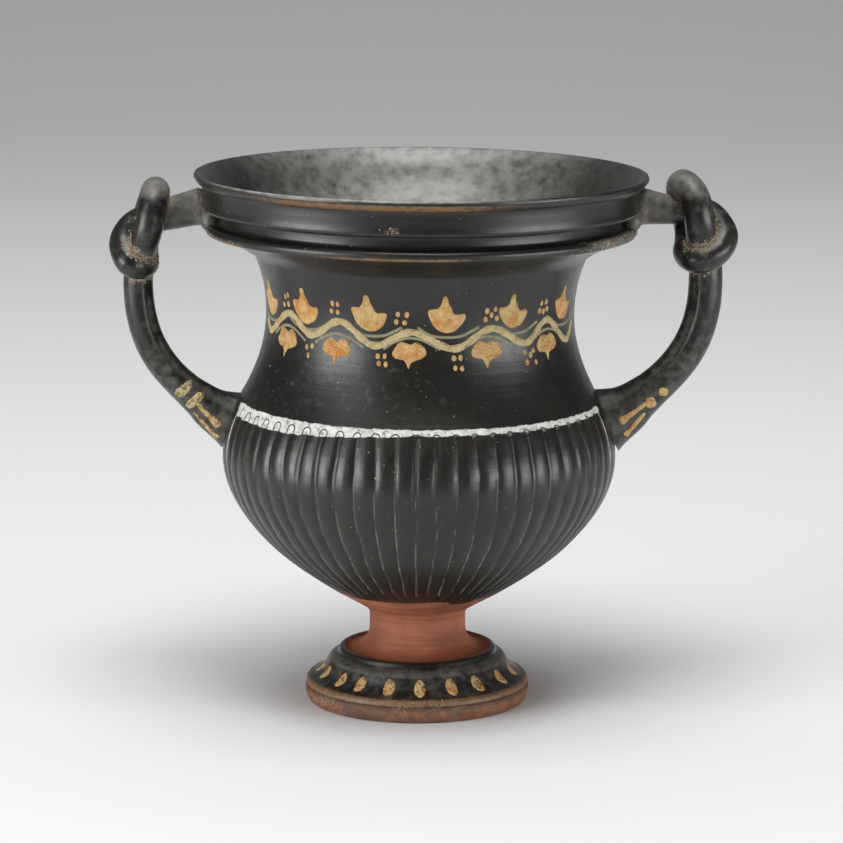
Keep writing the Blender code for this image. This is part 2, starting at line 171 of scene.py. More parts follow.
def rounded(corners, spacing):
    """Return points along straight runs between corners, with each corner rounded."""
    points = [np.array(corners[0][:2])]
    for before, corner, after in zip(corners, corners[1:], corners[2:]):
        middle = np.array(corner[:2])
        steps = [np.array(other[:2]) - middle for other in (before, after)]
        lengths = [np.linalg.norm(step) for step in steps]
        reach = min(corner[2], 0.48 * lengths[0], 0.48 * lengths[1])
        start, end = [middle + step / size * reach for step, size in zip(steps, lengths)]
        for t in np.linspace(0, 1, 5):
            points.append((1 - t) ** 2 * start + 2 * t * (1 - t) * middle + t**2 * end)
    points.append(np.array(corners[-1][:2]))
    filled = [points[0]]
    for here, there in zip(points, points[1:]):
        pieces = max(1, math.ceil(np.linalg.norm(there - here) / spacing))
        filled += [here + (there - here) * step / pieces for step in range(1, pieces + 1)]
    return np.array(filled)

# %% The outline from the foot to the floor inside
foot_outline = rounded(FOOT_CORNERS, 1.0)
dish_turn = np.radians(np.linspace(0, 90, 10))[1:]
dish_inner, dish_foot = FOOT_CORNERS[-1][:2]
dish_outline = np.stack([
    dish_inner - (dish_inner - STEM_RADIUS) * np.sin(dish_turn),
    dish_foot + (STEM_FOOT_HEIGHT - dish_foot) * (1 - np.cos(dish_turn)),
], axis=1)
stem_outline = rounded(((STEM_RADIUS, 22.4, 0.0),) + STEM_CORNERS, 1.0)
underside = np.linspace(28.4, RIB_FOOT_HEIGHT, 8)[:-1]
ribbed = np.concatenate([
    np.linspace(RIB_FOOT_HEIGHT, 38.0, 9)[:-1],
    np.linspace(38.0, 84.0, 44)[:-1],
    np.linspace(84.0, 91.6, 20),
])
neck = np.linspace(91.6, THROAT_HEIGHT, 46)[1:]
rim_outline = rounded(RIM_CORNERS, 0.9)
inner_heights = np.linspace(THROAT_HEIGHT - WALL, RIB_FOOT_HEIGHT, 44)
inner_radius, inner_slope = wall_radius(inner_heights)
slant = np.sqrt(1 + inner_slope**2)
inner_outline = np.stack([
    inner_radius - WALL / slant,
    inner_heights + WALL * inner_slope / slant,
], axis=1)
print("Neck radius at its waist:", wall_radius(116.0)[0], "mm")

# %% [markdown]
# ## Turning the outline into a mesh
# The rings of the ribbed bowl need many more columns than the rest, so rings
# of different counts are stitched together like a zip. The pot also leans a
# little over its foot, which is why one place on it is found by one function
# from its azimuth, radius and height. Azimuth zero faces the viewer.

# %% Rings, stitching and the cup's mesh
RIBS_PER_PANEL = 26
PANEL_HALF = math.radians(77.1)
PANEL_TURN = math.radians(-0.9)
COLUMNS_PER_RIB = 10
PLAIN_COLUMNS = 12

# %% Functions for places and rings
def lean_of(height):
    """Return how far the axis stands to the right at a height."""
    return FOOT_SHIFT + LEAN * height


def place(azimuth, radius, height):
    """Return the place in metres of a point on the leaning cup."""
    settled = np.clip((height - FOOT_RING_HEIGHT) / (STEM_TOP_HEIGHT - FOOT_RING_HEIGHT), 0, 1)
    across = radius * np.sin(azimuth)
    spot = [lean_of(height) + across, -radius * np.cos(azimuth), height - LEAN * settled * across]
    return np.stack(spot, axis=-1) * MM


def panel_columns():
    """Return azimuths with many columns across each reeded panel and few between."""
    plain = math.pi - 2 * PANEL_HALF
    columns = []
    for turn in (0.0, math.pi):
        start = turn + PANEL_TURN - PANEL_HALF
        count = RIBS_PER_PANEL * COLUMNS_PER_RIB
        columns.append(start + 2 * PANEL_HALF * np.arange(count) / count)
        columns.append(start + 2 * PANEL_HALF + plain * np.arange(PLAIN_COLUMNS) / PLAIN_COLUMNS)
    return np.concatenate(columns)


def stitch(low, high, azimuths):
    """Return the faces between two rings of vertex numbers, whatever their counts."""
    if len(low) == len(high):
        return [(low[i - 1], low[i], high[i], high[i - 1]) for i in range(len(low))]
    start = azimuths[low[0]]
    turned = []
    for ring in (low, high):
        turns = (azimuths[ring] - start + 1e-9) % (2 * math.pi)
        order = np.argsort(turns)
        turned.append((np.append(turns[order], turns[order][0] + 2 * math.pi),
                       np.append(ring[order], ring[order][0])))
    (low_turn, low_ring), (high_turn, high_ring) = turned
    faces = []
    i = j = 0
    while i < len(low) or j < len(high):
        if j == len(high) or (i < len(low) and low_turn[i + 1] <= high_turn[j + 1]):
            faces.append((low_ring[i], low_ring[i + 1], high_ring[j]))
            i += 1
        else:
            faces.append((low_ring[i], high_ring[j + 1], high_ring[j]))
            j += 1
    return faces

# %% Stitch the rings
fine = panel_columns()
coarse = fine[::4]
inside = np.linspace(0, 2 * math.pi, 160, endpoint=False)
rows = [(r, z, coarse) for r, z in np.concatenate([foot_outline[1:], dish_outline, stem_outline])]
rows += [(wall_radius(z)[0], z, coarse) for z in underside]
rows += [(wall_radius(z)[0], z, fine) for z in ribbed]
rows += [(wall_radius(z)[0], z, coarse) for z in neck]
rows += [(r, z, coarse) for r, z in rim_outline]
outer_rows = len(rows)
rows += [(r, z, inside) for r, z in inner_outline]

azimuth = np.concatenate([columns for _, _, columns in rows])
radius = np.concatenate([np.full(len(columns), r) for r, _, columns in rows])
height = np.concatenate([np.full(len(columns), z) for _, z, columns in rows])
travel = np.cumsum([0] + [math.dist(a[:2], b[:2]) for a, b in zip(rows, rows[1:])])
along = np.concatenate([np.full(len(row[2]), s) for row, s in zip(rows, travel)])
starts = np.cumsum([0] + [len(row[2]) for row in rows])
rings = [np.arange(a, b) for a, b in zip(starts, starts[1:])]
faces = []
for low, high in zip(rings, rings[1:]):
    faces += stitch(low, high, azimuth)
first, last = rings[0], rings[-1]
bottom, floor_spot = len(azimuth), len(azimuth) + 1
faces += [(bottom, first[i], first[i - 1]) for i in range(len(first))]
faces += [(last[i - 1], last[i], floor_spot) for i in range(len(last))]
azimuth = np.append(azimuth, [0, 0])
radius = np.append(radius, [0, 0])
height = np.append(height, [FOOT_CORNERS[0][1], FLOOR_HEIGHT])
along = np.append(along, [0, travel[-1]])
outside = np.ones(len(azimuth))
outside[starts[outer_rows]:] = 0
print("Cup rows:", len(rows), "vertices:", len(azimuth), "faces:", len(faces))

# %% [markdown]
# ## From arrays to objects
# Every piece is made where it belongs, so its object stays at the origin. The
# shading is smooth, and only true corners such as the mouldings stay crisp.
# Each piece also keeps plain number fields on its points, in millimetres, and
# its materials read them to know where the clay is bare or the slip is worn.

# %% A function for a mesh with fields
def make_piece(name, points, piece_faces, fields=None, sharp=40):
    """Return a smooth-shaded object at the origin, with number fields on its points."""
    mesh = bpy.data.meshes.new(name)
    mesh.from_pydata(np.asarray(points).tolist(), [], [[int(v) for v in face] for face in piece_faces])
    mesh.shade_smooth()
    mesh.set_sharp_from_angle(angle=math.radians(sharp))
    for field, values in (fields or {}).items():
        layer = mesh.attributes.new(field, "FLOAT", "POINT")
        layer.data.foreach_set("value", np.asarray(values, np.float32))
    piece = bpy.data.objects.new(name, mesh)
    scene.collection.objects.link(piece)
    return piece

# %% Finishes, to be filled in later
finishes = {
    name: bpy.data.materials.new(name)
    for name in ("black_slip", "red_clay", "cream_slip", "buff_crust", "studio_sweep")
}
print("Finishes, still empty:", list(finishes))

# %% [markdown]
# ## Where the slip ends and where the years have worn it
# The slip was brushed on by eye and then rubbed by hands and by the ground. The
# edges of those areas follow the turned outline and the azimuth, so they are
# worked out here as distances in millimetres, positive inside the area. The
# material adds noise to each distance, which turns a ruled edge into a ragged
# one. This keeps the drawing in one place and the roughness of the edge in
# another.

# %% Fields on the cup: bare clay, white band, wear, dust, and painted sheen and shade
degrees = np.degrees(azimuth)
PANEL_HALF_DEGREES = math.degrees(PANEL_HALF)
PANEL_TURN_DEGREES = math.degrees(PANEL_TURN)
BAND_TOP = 90.5
BAND_FOOT = 86.8
BAND_THIN_FOOT = 88.9
# Field values that mean far from a groove, deep in a panel, and well outside a mask.
FAR = 9.0
FAR_IN_PANEL = 50.0
OUTSIDE_MASK = -5.0
CHIP_LEVEL = 0.6

# %% Functions that find places on the outline
def reach(target_radius, target_height):
    """Return the distance along the outline at its point nearest to a radius and height."""
    gaps = [math.dist(row[:2], (target_radius, target_height)) for row in rows]
    return travel[int(np.argmin(gaps))]


def window(centre, half, soft):
    """Return 1 at azimuths within half of a centre, 0 outside, with soft ends, in degrees."""
    apart = np.abs((degrees - centre + 180) % 360 - 180)
    return np.clip((half - apart) / soft + 0.5, 0, 1)


def line(start, end, soft):
    """Return 1 between two distances along the outline and 0 outside, with soft ends."""
    return np.clip(np.minimum(along - start, end - along) / soft + 0.5, 0, 1)

# %% Edges of the slip and of the white band
foot_slip = reach(32.65, 4.75)
dish_edge = reach(21.2, 15.5)
bowl_slip = reach(26.5, RIB_FOOT_HEIGHT) + 0.35 * np.sin(azimuth * 5 + 1) + 0.25 * np.sin(azimuth * 11)
bowl_slip += 1.6 * window(74, 15, 6) - 2.0 * window(30, 9, 2) + 1.0 * window(-60, 14, 6)
bare = np.maximum(foot_slip - along, np.minimum(along - dish_edge, bowl_slip - along))

local = (degrees - PANEL_TURN_DEGREES + 90) % 180 - 90
inside_panel = np.radians(PANEL_HALF_DEGREES - np.abs(local)) * radius
thin = np.clip((local + 42) / 42, 0, 1)
band_foot = BAND_FOOT + (BAND_THIN_FOOT - BAND_FOOT) * thin
band = np.minimum(np.minimum(height - band_foot, BAND_TOP - height), inside_panel + 0.6)
white = np.where(outside > 0, band, OUTSIDE_MASK)

# %% Strengths of wear, chips, dust, stain, film and crust, with painted highlights, sheen and shade among them
lip = reach(66.1, 155.6)
lip_foot, flange_edge, flange_top = reach(63.6, 153.4), reach(62.9, 140.2), reach(62.3, 142.0)
fascia_foot = reach(63.5, 147.2)
foot_roll, foot_shoulder, foot_groove = reach(32.7, 6.3), reach(24.9, 13.2), reach(32.65, 4.75)
neck_foot = reach(wall_radius(92.5)[0], 92.5)
inside_lip = along > lip + 1.5
strength = {
    "wear": 0 * along, "chips": 0 * along, "crust": 0 * along,
    # The extra dust on the left of the shoulder is a painted sheen.
    "dust": np.where(inside_lip, 0.26, 0.22)
    + 0.12 * line(neck_foot, neck_foot + 16.0, 8.0) * window(-30, 45, 40),
    "stain": line(0, foot_groove + 0.2, 0.4)
    * (0.78 - 0.30 * window(-56, 12, 10) - 0.22 * window(60, 30, 30)),
    # Inside, the pale film is dried deposit all round and a painted sheen on the far wall.
    "film": np.where(inside_lip, 0.10 + 0.90 * window(182, 36, 46), 0.0),
}
# Field, start, end and softness along the outline, strength all round and extra
# strength, and where the extra is: its middle, half width and softness in degrees.
for name, start, end, soft, level, extra, *where in (
    # The wear along the lip's crest, strongest right of the middle, is partly a painted highlight.
    ("wear", lip + 0.2, lip + 0.7, 0.4, 0.168, 0.252, 30, 60, 60),
    ("wear", lip_foot + 0.3, lip - 0.4, 0.5, 0.18, 0.58, -12, 34, 30),
    ("wear", flange_edge - 0.8, flange_edge + 0.4, 0.5, 0.10, 0.62, -6, 20, 14),
    ("wear", flange_edge - 1.4, flange_edge + 0.6, 0.8, 0, 0.6, -65, 13, 6),
    ("wear", fascia_foot - 0.2, fascia_foot + 1.6, 0.8, 0, 0.62, -7.3, 2.6, 2.4),
    ("wear", foot_groove + 0.2, foot_roll + 1.4, 0.8, 0.78, 0),
    ("chips", flange_edge - 1.8, flange_edge - 0.2, 0.5, 0, 0.46, -65, 12, 5),
    ("chips", flange_edge - 0.8, flange_edge + 0.4, 0.5, 0, 0.42, -4, 20, 10),
    ("chips", lip - 0.6, lip + 0.6, 0.5, 0, 0.8, -82, 4, 3),
    ("dust", flange_edge - 0.6, flange_top + 2.2, 1.0, 0, 0.82, 64, 16, 14),
    ("dust", fascia_foot - 0.2, fascia_foot + 1.6, 0.8, 0, 0.55, -7.3, 2.6, 2.4),
    ("dust", flange_edge - 1.0, flange_top + 8.0, 2.0, 0, 0.5, -84, 9, 8),
    ("dust", flange_edge - 2, flange_edge + 1, 0.8, 0, 0.5, -70, 10, 8),
    # Dust on the foot's roll and rounded shoulder is partly a painted highlight on them.
    ("dust", 0, foot_roll + 1.0, 2.0, 0.42, 0),
    ("dust", foot_shoulder - 2.5, foot_shoulder + 2.0, 2.0, 0.70, 0),
    ("dust", foot_groove, foot_shoulder, 1.0, 0.46, 0),
    # This stain darkens the clay band just below the foot's groove.
    ("stain", foot_groove - 1.6, foot_groove + 0.3, 1.0, 0.95, 0),
    # The stain in the dish is partly painted shade in the hollow of the foot.
    ("stain", dish_edge - 1.0, dish_edge + 3.0, 2.5, 0.38, 0),
    # The pale film along the top of the lip is a painted highlight.
    ("film", lip + 0.4, lip + 1.9, 0.4, 0, 1.2, -20, 36, 34),
    ("crust", flange_edge - 0.8, flange_top + 1.6, 1.0, 0, 0.85, 62, 14, 12),
    ("crust", fascia_foot - 0.2, fascia_foot + 1.6, 0.8, 0, 0.8, -7.3, 2.6, 2.4),
    ("crust", flange_edge - 2.2, flange_edge + 0.2, 0.6, 0, 1.0, -66, 11, 8),
    ("crust", foot_groove - 4.0, foot_groove - 0.6, 1.0, 0, 0.85, -57, 13, 10),
    ("crust", foot_groove - 0.8, foot_roll + 1.0, 0.8, 0, 0.55, 2, 12, 10),
):
    share = level + (extra * window(*where) if where else 0)
    strength[name] = np.maximum(strength[name], line(start, end, soft) * share)
chips = strength.pop("chips")
bare = np.maximum(bare, np.where(outside > 0, chips - CHIP_LEVEL, OUTSIDE_MASK))
strength["crust"] = np.where(outside > 0, strength["crust"], 0.0)
speck = np.where(outside > 0, 0.35 + 0.65 * window(0, 60, 60), 0.0) * (along > bowl_slip)

# %% Make the cup and the stem
fields = {
    "azimuth": degrees, "radius": radius, "height": height, "outside": outside,
    "bare": bare, "white": white, **strength, "speck": speck,
    "panel": np.where(outside > 0, inside_panel, FAR_IN_PANEL), "groove": np.full(len(azimuth), FAR),
}
spots = place(azimuth, radius, height)
stem_start = starts[len(foot_outline) - 1]
stem_end = starts[len(foot_outline) - 1 + len(dish_outline) + len(stem_outline) + len(underside)]
parts = {"cup": [], "stem": []}
for face in faces:
    on_stem = min(face) >= stem_start - len(coarse) and max(face) < stem_end + len(fine)
    on_stem = on_stem and min(face) < stem_end and max(face) >= stem_start
    parts["stem" if on_stem else "cup"].append(face)
pieces = {}
for name, own_faces in parts.items():
    used = np.unique(np.concatenate([np.array(face) for face in own_faces]))
    renumber = np.zeros(len(azimuth), int)
    renumber[used] = np.arange(len(used))
    own_faces = [renumber[np.array(face)] for face in own_faces]
    own_fields = {field: values[used] for field, values in fields.items()}
    pieces[name] = make_piece(name, spots[used], own_faces, own_fields)
    print(name, "has", len(own_faces), "faces")

# %% [markdown]
# ## The knotted handles
# Each handle is one roll of clay. It leaves the rim as a short arm, ties an
# overhand knot, and runs down to the shoulder of the bowl, where the potter
# pressed its end flat. A knot is hard to draw as a formula, so it is a list of
# stations measured outward, forward and up from the knot's middle, in units of
# the roll's radius, each with its own thickness. A smooth curve joins them.

# %% The stations of both handles
STRAND_RADIUS = 4.2
ARM_DROP = 9.9
ARM_ROOT_RADIUS = 5.4
KNOT_DROP = 15.5
LOOP_DROP = 23.2
ROOT_HEIGHT = 83.2
ROOT_RISE = math.radians(38)
ROOT_PULL = 18.0
ROOT_GROWTH = 1.30
ROOT_STRETCH = 1.50
LOWER_STRETCH = 1.08
RIM_WALL = 5.2
LOWER_TOP = 128.0
GROOVE_DEPTH = 0.5
GROOVE_FACING = 44.0
GROOVE_SPREAD = 9.0
ROOT_SKIRT = 6.0
ROOT_SKIRT_FLARE = 0.6
STRAND_SPACING = 0.8
STRAND_SIDES = 28
CREVICE_GAP = 2.7
CRUST_REACH = 2.3
# A stretch of roll counts as another one from this many radii along it.
OWN_STRETCH = 4.2
ROOT_FLARE_START = 0.6

LEFT_KNOT = (
    (-1.80, 0.00, 0.85, 1.12), (-0.36, -0.07, 0.50, 1.06), (0.87, -0.10, -0.10, 1.00),
    (1.48, 0.52, -1.20, 0.98), (0.94, 1.76, -2.34, 0.94), (-0.02, 1.05, -2.60, 0.90),
    (0.06, -0.76, -1.82, 0.92), (0.08, -1.90, 0.08, 0.94), (-0.46, -1.50, 1.80, 0.96),
    (-0.76, 0.00, 2.42, 0.99), (-0.70, 1.50, 1.80, 1.00), (-0.44, 1.96, 0.24, 1.00),
    (0.00, 1.48, -1.20, 0.98), (0.42, 0.15, -2.64, 1.00), (0.52, 0.00, -3.96, 1.03),
)
RIGHT_KNOT = (
    (-1.95, 0.00, 0.60, 0.99), (-0.60, -0.07, 0.50, 0.98), (0.80, -0.07, 0.22, 0.98),
    (1.69, 0.72, -1.10, 1.00), (1.05, 1.62, -2.15, 1.00), (-0.15, 1.74, -2.60, 0.98),
    (-0.76, 0.50, -2.38, 1.00), (-0.60, -1.00, -1.70, 0.98), (-0.62, -1.86, -0.60, 0.98),
    (-1.12, -1.68, 1.45, 1.02), (-1.10, 0.00, 2.36, 1.05), (-0.45, 1.55, 1.72, 1.06),
    (-0.08, 1.86, 0.21, 1.06), (0.10, 1.48, -1.05, 1.06), (0.48, 0.20, -2.60, 1.12),
    (0.54, 0.00, -4.30, 1.18),
)
# Name, side, how far the knot stands off the rim, how much higher it sits, and its knot.
HANDLES = (
    ("left_handle", -1, 16.6, 0.0, LEFT_KNOT),
    ("right_handle", 1, 17.0, 2.1, RIGHT_KNOT),
)

# %% Functions that lay out one roll of clay
def handle_stations(side, reach, lift, knot):
    """Return x, y, z, radius and stretch for every station of one handle."""
    level = RIM_HEIGHT - ARM_DROP
    axis = lean_of(level)
    stations = [
        (axis + side * (FASCIA_RADIUS - RIM_WALL * 0.60), 0, level, STRAND_RADIUS * 0.85, 1),
        (axis + side * (FASCIA_RADIUS + 0.6), 0, level, ARM_ROOT_RADIUS, 1),
    ]
    level = RIM_HEIGHT - KNOT_DROP + lift
    middle = lean_of(level) + side * (FASCIA_RADIUS + reach)
    for outward, forward, up, thickness in knot:
        stations.append((
            middle + side * outward * STRAND_RADIUS, -forward * STRAND_RADIUS,
            level + up * STRAND_RADIUS, thickness * STRAND_RADIUS, 1,
        ))
    start, radius_there = np.array(stations[-1][:3]), stations[-1][3]
    wall = float(wall_radius(ROOT_HEIGHT)[0])
    end = np.array([lean_of(ROOT_HEIGHT) + side * wall, 0, ROOT_HEIGHT])
    pull_down = start - [0, 0, LOOP_DROP]
    pull_out = end + np.array([side * math.cos(ROOT_RISE), 0, math.sin(ROOT_RISE)]) * ROOT_PULL
    for t in np.arange(1, 10) / 10:
        spot = (1 - t) ** 3 * start + 3 * t * (1 - t) ** 2 * pull_down
        spot = spot + 3 * t**2 * (1 - t) * pull_out + t**3 * end
        flare = max(0, (t - ROOT_FLARE_START) / (1 - ROOT_FLARE_START)) ** 2
        stretch = 1 + (LOWER_STRETCH - 1) * t + (ROOT_STRETCH - LOWER_STRETCH) * flare
        stations.append((*spot, radius_there * (1 + (ROOT_GROWTH - 1) * flare), stretch))
    root = end - [side * WALL / 2, 0, 0]
    stations.append((*root, radius_there * ROOT_GROWTH, ROOT_STRETCH))
    return np.array(stations, float)


def between(a, b, c, d, t):
    """Return the point at share t of the smooth curve from b to c, between a and d."""
    spot = b + (c - a) * t / 2 + (2 * a - 5 * b + 4 * c - d) * t**2 / 2
    return spot + (3 * b - a - 3 * c + d) * t**3 / 2


def smooth_curve(stations, spacing):
    """Return closely spaced stations on a Catmull-Rom curve through the given ones."""
    ends = np.concatenate([stations[:1], stations, stations[-1:]])
    curve = []
    for a, b, c, d in zip(ends, ends[1:], ends[2:], ends[3:]):
        steps = max(2, round(float(np.linalg.norm(c[:3] - b[:3])) / spacing))
        for t in np.arange(steps) / steps:
            spot = between(a, b, c, d, t)
            spot[3:] = b[3:] + (c[3:] - b[3:]) * t
            curve.append(spot)
    return np.array(curve + [stations[-1]])

# %% Functions that sweep the roll and model it
def sweep(curve, sides):
    """Return the points, faces and run of an oval section swept along a curve."""
    headings = np.gradient(curve[:, :3], axis=0)
    headings /= np.linalg.norm(headings, axis=1, keepdims=True)
    across = Vector((0, 1, 0))
    frames = [across]
    for before, heading in zip(headings, headings[1:]):
        across = Vector(before).rotation_difference(Vector(heading)) @ across
        across = (across - Vector(heading) * across.dot(Vector(heading))).normalized()
        frames.append(across)
    end_across = Vector((0, 1, 0))
    end_across = (end_across - Vector(headings[-1]) * end_across.dot(Vector(headings[-1]))).normalized()
    twist = math.atan2(
        frames[-1].cross(end_across).dot(Vector(headings[-1])), frames[-1].dot(end_across))
    run = np.concatenate([[0], np.cumsum(np.linalg.norm(np.diff(curve[:, :3], axis=0), axis=1))])
    points = []
    for spot, heading, across, share in zip(curve, headings, frames, run / run[-1]):
        across = np.array(across)
        up = np.cross(heading, across)
        tall = np.cross(heading, [0, 1, 0])
        angle = 2 * math.pi * (np.arange(sides) + 0.5) / sides + twist * share
        spokes = spot[3] * (np.cos(angle)[:, None] * across + np.sin(angle)[:, None] * up)
        spokes += (spot[4] - 1) * (spokes @ tall)[:, None] * tall
        points.append(spot[:3] + spokes)
    count = len(curve)
    points = np.concatenate(points + [curve[:1, :3], curve[-1:, :3]])
    ring = np.arange(sides)
    tube = []
    for row in range(count - 1):
        low, high = row * sides + ring, (row + 1) * sides + ring
        tube += list(zip(low, np.roll(low, -1), np.roll(high, -1), high))
    start, end = count * sides, count * sides + 1
    tube += [(start, (i + 1) % sides, i) for i in range(sides)]
    tube += [(end, (count - 1) * sides + i, (count - 1) * sides + (i + 1) % sides) for i in range(sides)]
    return points * MM, tube, run


def model_lower(points, curve, side):
    """Groove both faces of the lower handle, flare its root, and return how deep the groove is."""
    owner = np.append(np.repeat(np.arange(len(curve)), STRAND_SIDES), [0, len(curve) - 1])
    middle, size = curve[owner, :3], curve[owner, 3]
    points = points / MM
    spoke = points - middle
    heading = np.gradient(curve[:, :3], axis=0)[owner]
    heading /= np.linalg.norm(heading, axis=1, keepdims=True)
    inner = np.cross(heading, [0, -side, 0])
    facing = np.degrees(np.arctan2(np.abs(spoke[:, 1]), (spoke * inner).sum(axis=1)))
    start = LOWER_TOP - middle[:, 2]
    on_lower = np.clip(start / 5, 0, 1) * (owner > len(curve) // 2)
    depth = GROOVE_DEPTH * np.exp(-((facing - GROOVE_FACING) / GROOVE_SPREAD) ** 2) * on_lower
    length = np.linalg.norm(spoke, axis=1, keepdims=True) + 1e-9
    points = points - spoke / length * depth[:, None]
    wall_gap = np.hypot(points[:, 0] - lean_of(points[:, 2]), points[:, 1])
    wall_gap = wall_gap - wall_radius(np.clip(points[:, 2], 30, 130))[0]
    near = np.clip(1 - wall_gap / ROOT_SKIRT, 0, 1) ** 2 * on_lower
    return (points + spoke / length * (ROOT_SKIRT_FLARE * near)[:, None]) * MM, depth / GROOVE_DEPTH


def nearest_roll(curve, run, points):
    """Return how far each point is from the surface of another stretch of its own roll, in mm."""
    owner = np.repeat(np.arange(len(curve)), STRAND_SIDES)
    owner = np.append(owner, [0, len(curve) - 1])
    nearest = np.full(len(points), FAR)
    for station in range(0, len(curve), 2):
        other = np.abs(run[owner] - run[station]) > OWN_STRETCH * curve[station, 3]
        space = np.linalg.norm(points / MM - curve[station, :3], axis=1) - curve[station, 3]
        nearest = np.minimum(nearest, np.where(other, space, FAR))
    return nearest


def slip_fields(count, **own):
    """Return the fields of a piece in plain black slip, with its own fields beside them."""
    plain = {
        "azimuth": 0, "radius": 0, "height": 0, "outside": 1, "bare": OUTSIDE_MASK,
        "white": OUTSIDE_MASK, "groove": FAR, "panel": FAR_IN_PANEL, "stain": 0, "film": 0, "speck": 1,
    }
    return {name: value + np.zeros(count) for name, value in {**plain, **own}.items()}

# %% Make both handles
for name, side, reach_out, lift, knot in HANDLES:
    curve = smooth_curve(handle_stations(side, reach_out, lift, knot), STRAND_SPACING)
    points, tube, run = sweep(curve, STRAND_SIDES)
    points, in_groove = model_lower(points, curve, side)
    x, y, z = points.T / MM
    from_axis = np.hypot(x - lean_of(z), y)
    gap = nearest_roll(curve, run, points)
    crevice = np.clip(1 - gap / CREVICE_GAP, 0, 1)
    joint = np.clip(1 - (from_axis - FASCIA_RADIUS) / 2.5, 0, 1) * (z > 140)
    arm = np.clip(1 - (from_axis - FASCIA_RADIUS - 8) / 4, 0, 1) * (z > 140)
    # Pale dust at the top of each knot is a painted highlight, stronger on the left, and the extra dust low
    # on the roll is a painted sheen.
    top = np.clip((z - 149.5) / 3, 0, 1) * (0.55 if side < 0 else 0.34)
    pieces[name] = make_piece(name, points, tube, slip_fields(
        len(points), wear=0.95 * crevice,
        dust=0.38 + 0.45 * np.maximum(crevice, joint) + 0.34 * arm + top + 0.22 * in_groove
        + 0.14 * np.clip((116 - z) / 14, 0, 1),
        crust=np.maximum(np.clip(1 - np.abs(gap - 0.2) / CRUST_REACH, 0, 1), 0.5 * joint),
    ), sharp=60)
    print(name, "is", round(run[-1]), "mm of clay roll in", len(tube), "faces")

# %% [markdown]
# ## Cutting the ribs
# The ribs were made with a small gouge, cut after cut, from a round top end
# down towards the stem, in one panel on each side between the handles. A
# Geometry Nodes tree does the same. It measures how far each point lies from
# the nearest gouge line in shares of the spacing, and pushes the point in by
# the gouge's section. All the gouge lines waver a little, as a hand does. The
# tree also stores that distance, which tells the material where the pale lines go.

# %% Functions that start, end and run a tree
def start_tree(name, sockets):
    """Return a new geometry tree with named inputs, and the outputs of its input node."""
    tree = bpy.data.node_groups.new(name, "GeometryNodeTree")
    tree.interface.new_socket("Geometry", in_out="OUTPUT", socket_type="NodeSocketGeometry")
    for label, kind in {"Geometry": "Geometry", **sockets}.items():
        tree.interface.new_socket(label, in_out="INPUT", socket_type="NodeSocket" + kind)
    given = add_node(tree, "NodeGroupInput").outputs
    return tree, {socket.name: socket for socket in given if socket.name}


def end_tree(tree, known, geometry):
    """Finish a tree with real geometry in one material."""
    follow(tree, known, (
        ("real", "GeometryNodeRealizeInstances", None, geometry),
        ("dressed", "GeometryNodeSetMaterial", None, {"Geometry": "real", "Material": "Material"}),
        ("end", "NodeGroupOutput", None, "dressed"),
    ))


def run_tree(piece, tree, values):
    """Run a tree on a piece with its inputs filled in, and keep the result as plain mesh."""
    modifier = piece.modifiers.new(tree.name, "NODES")
    modifier.node_group = tree
    for socket in tree.interface.items_tree:
        if socket.name in values:
            modifier[socket.identifier] = values[socket.name]
    evaluated = piece.evaluated_get(bpy.context.evaluated_depsgraph_get())
    result = bpy.data.meshes.new_from_object(evaluated)
    piece.modifiers.remove(modifier)
    piece.data = result
    print(tree.name, "left", piece.name, "with", len(result.polygons), "faces")


# %% The tree that gouges the ribs
RIB_DEPTH = 0.62
GOUGE_HALF_SHARE = 0.23
GOUGE_TOP = 88.0
BULGE = 0.22
FADE_BELOW = 3.4
FADE_ABOVE = 3.2

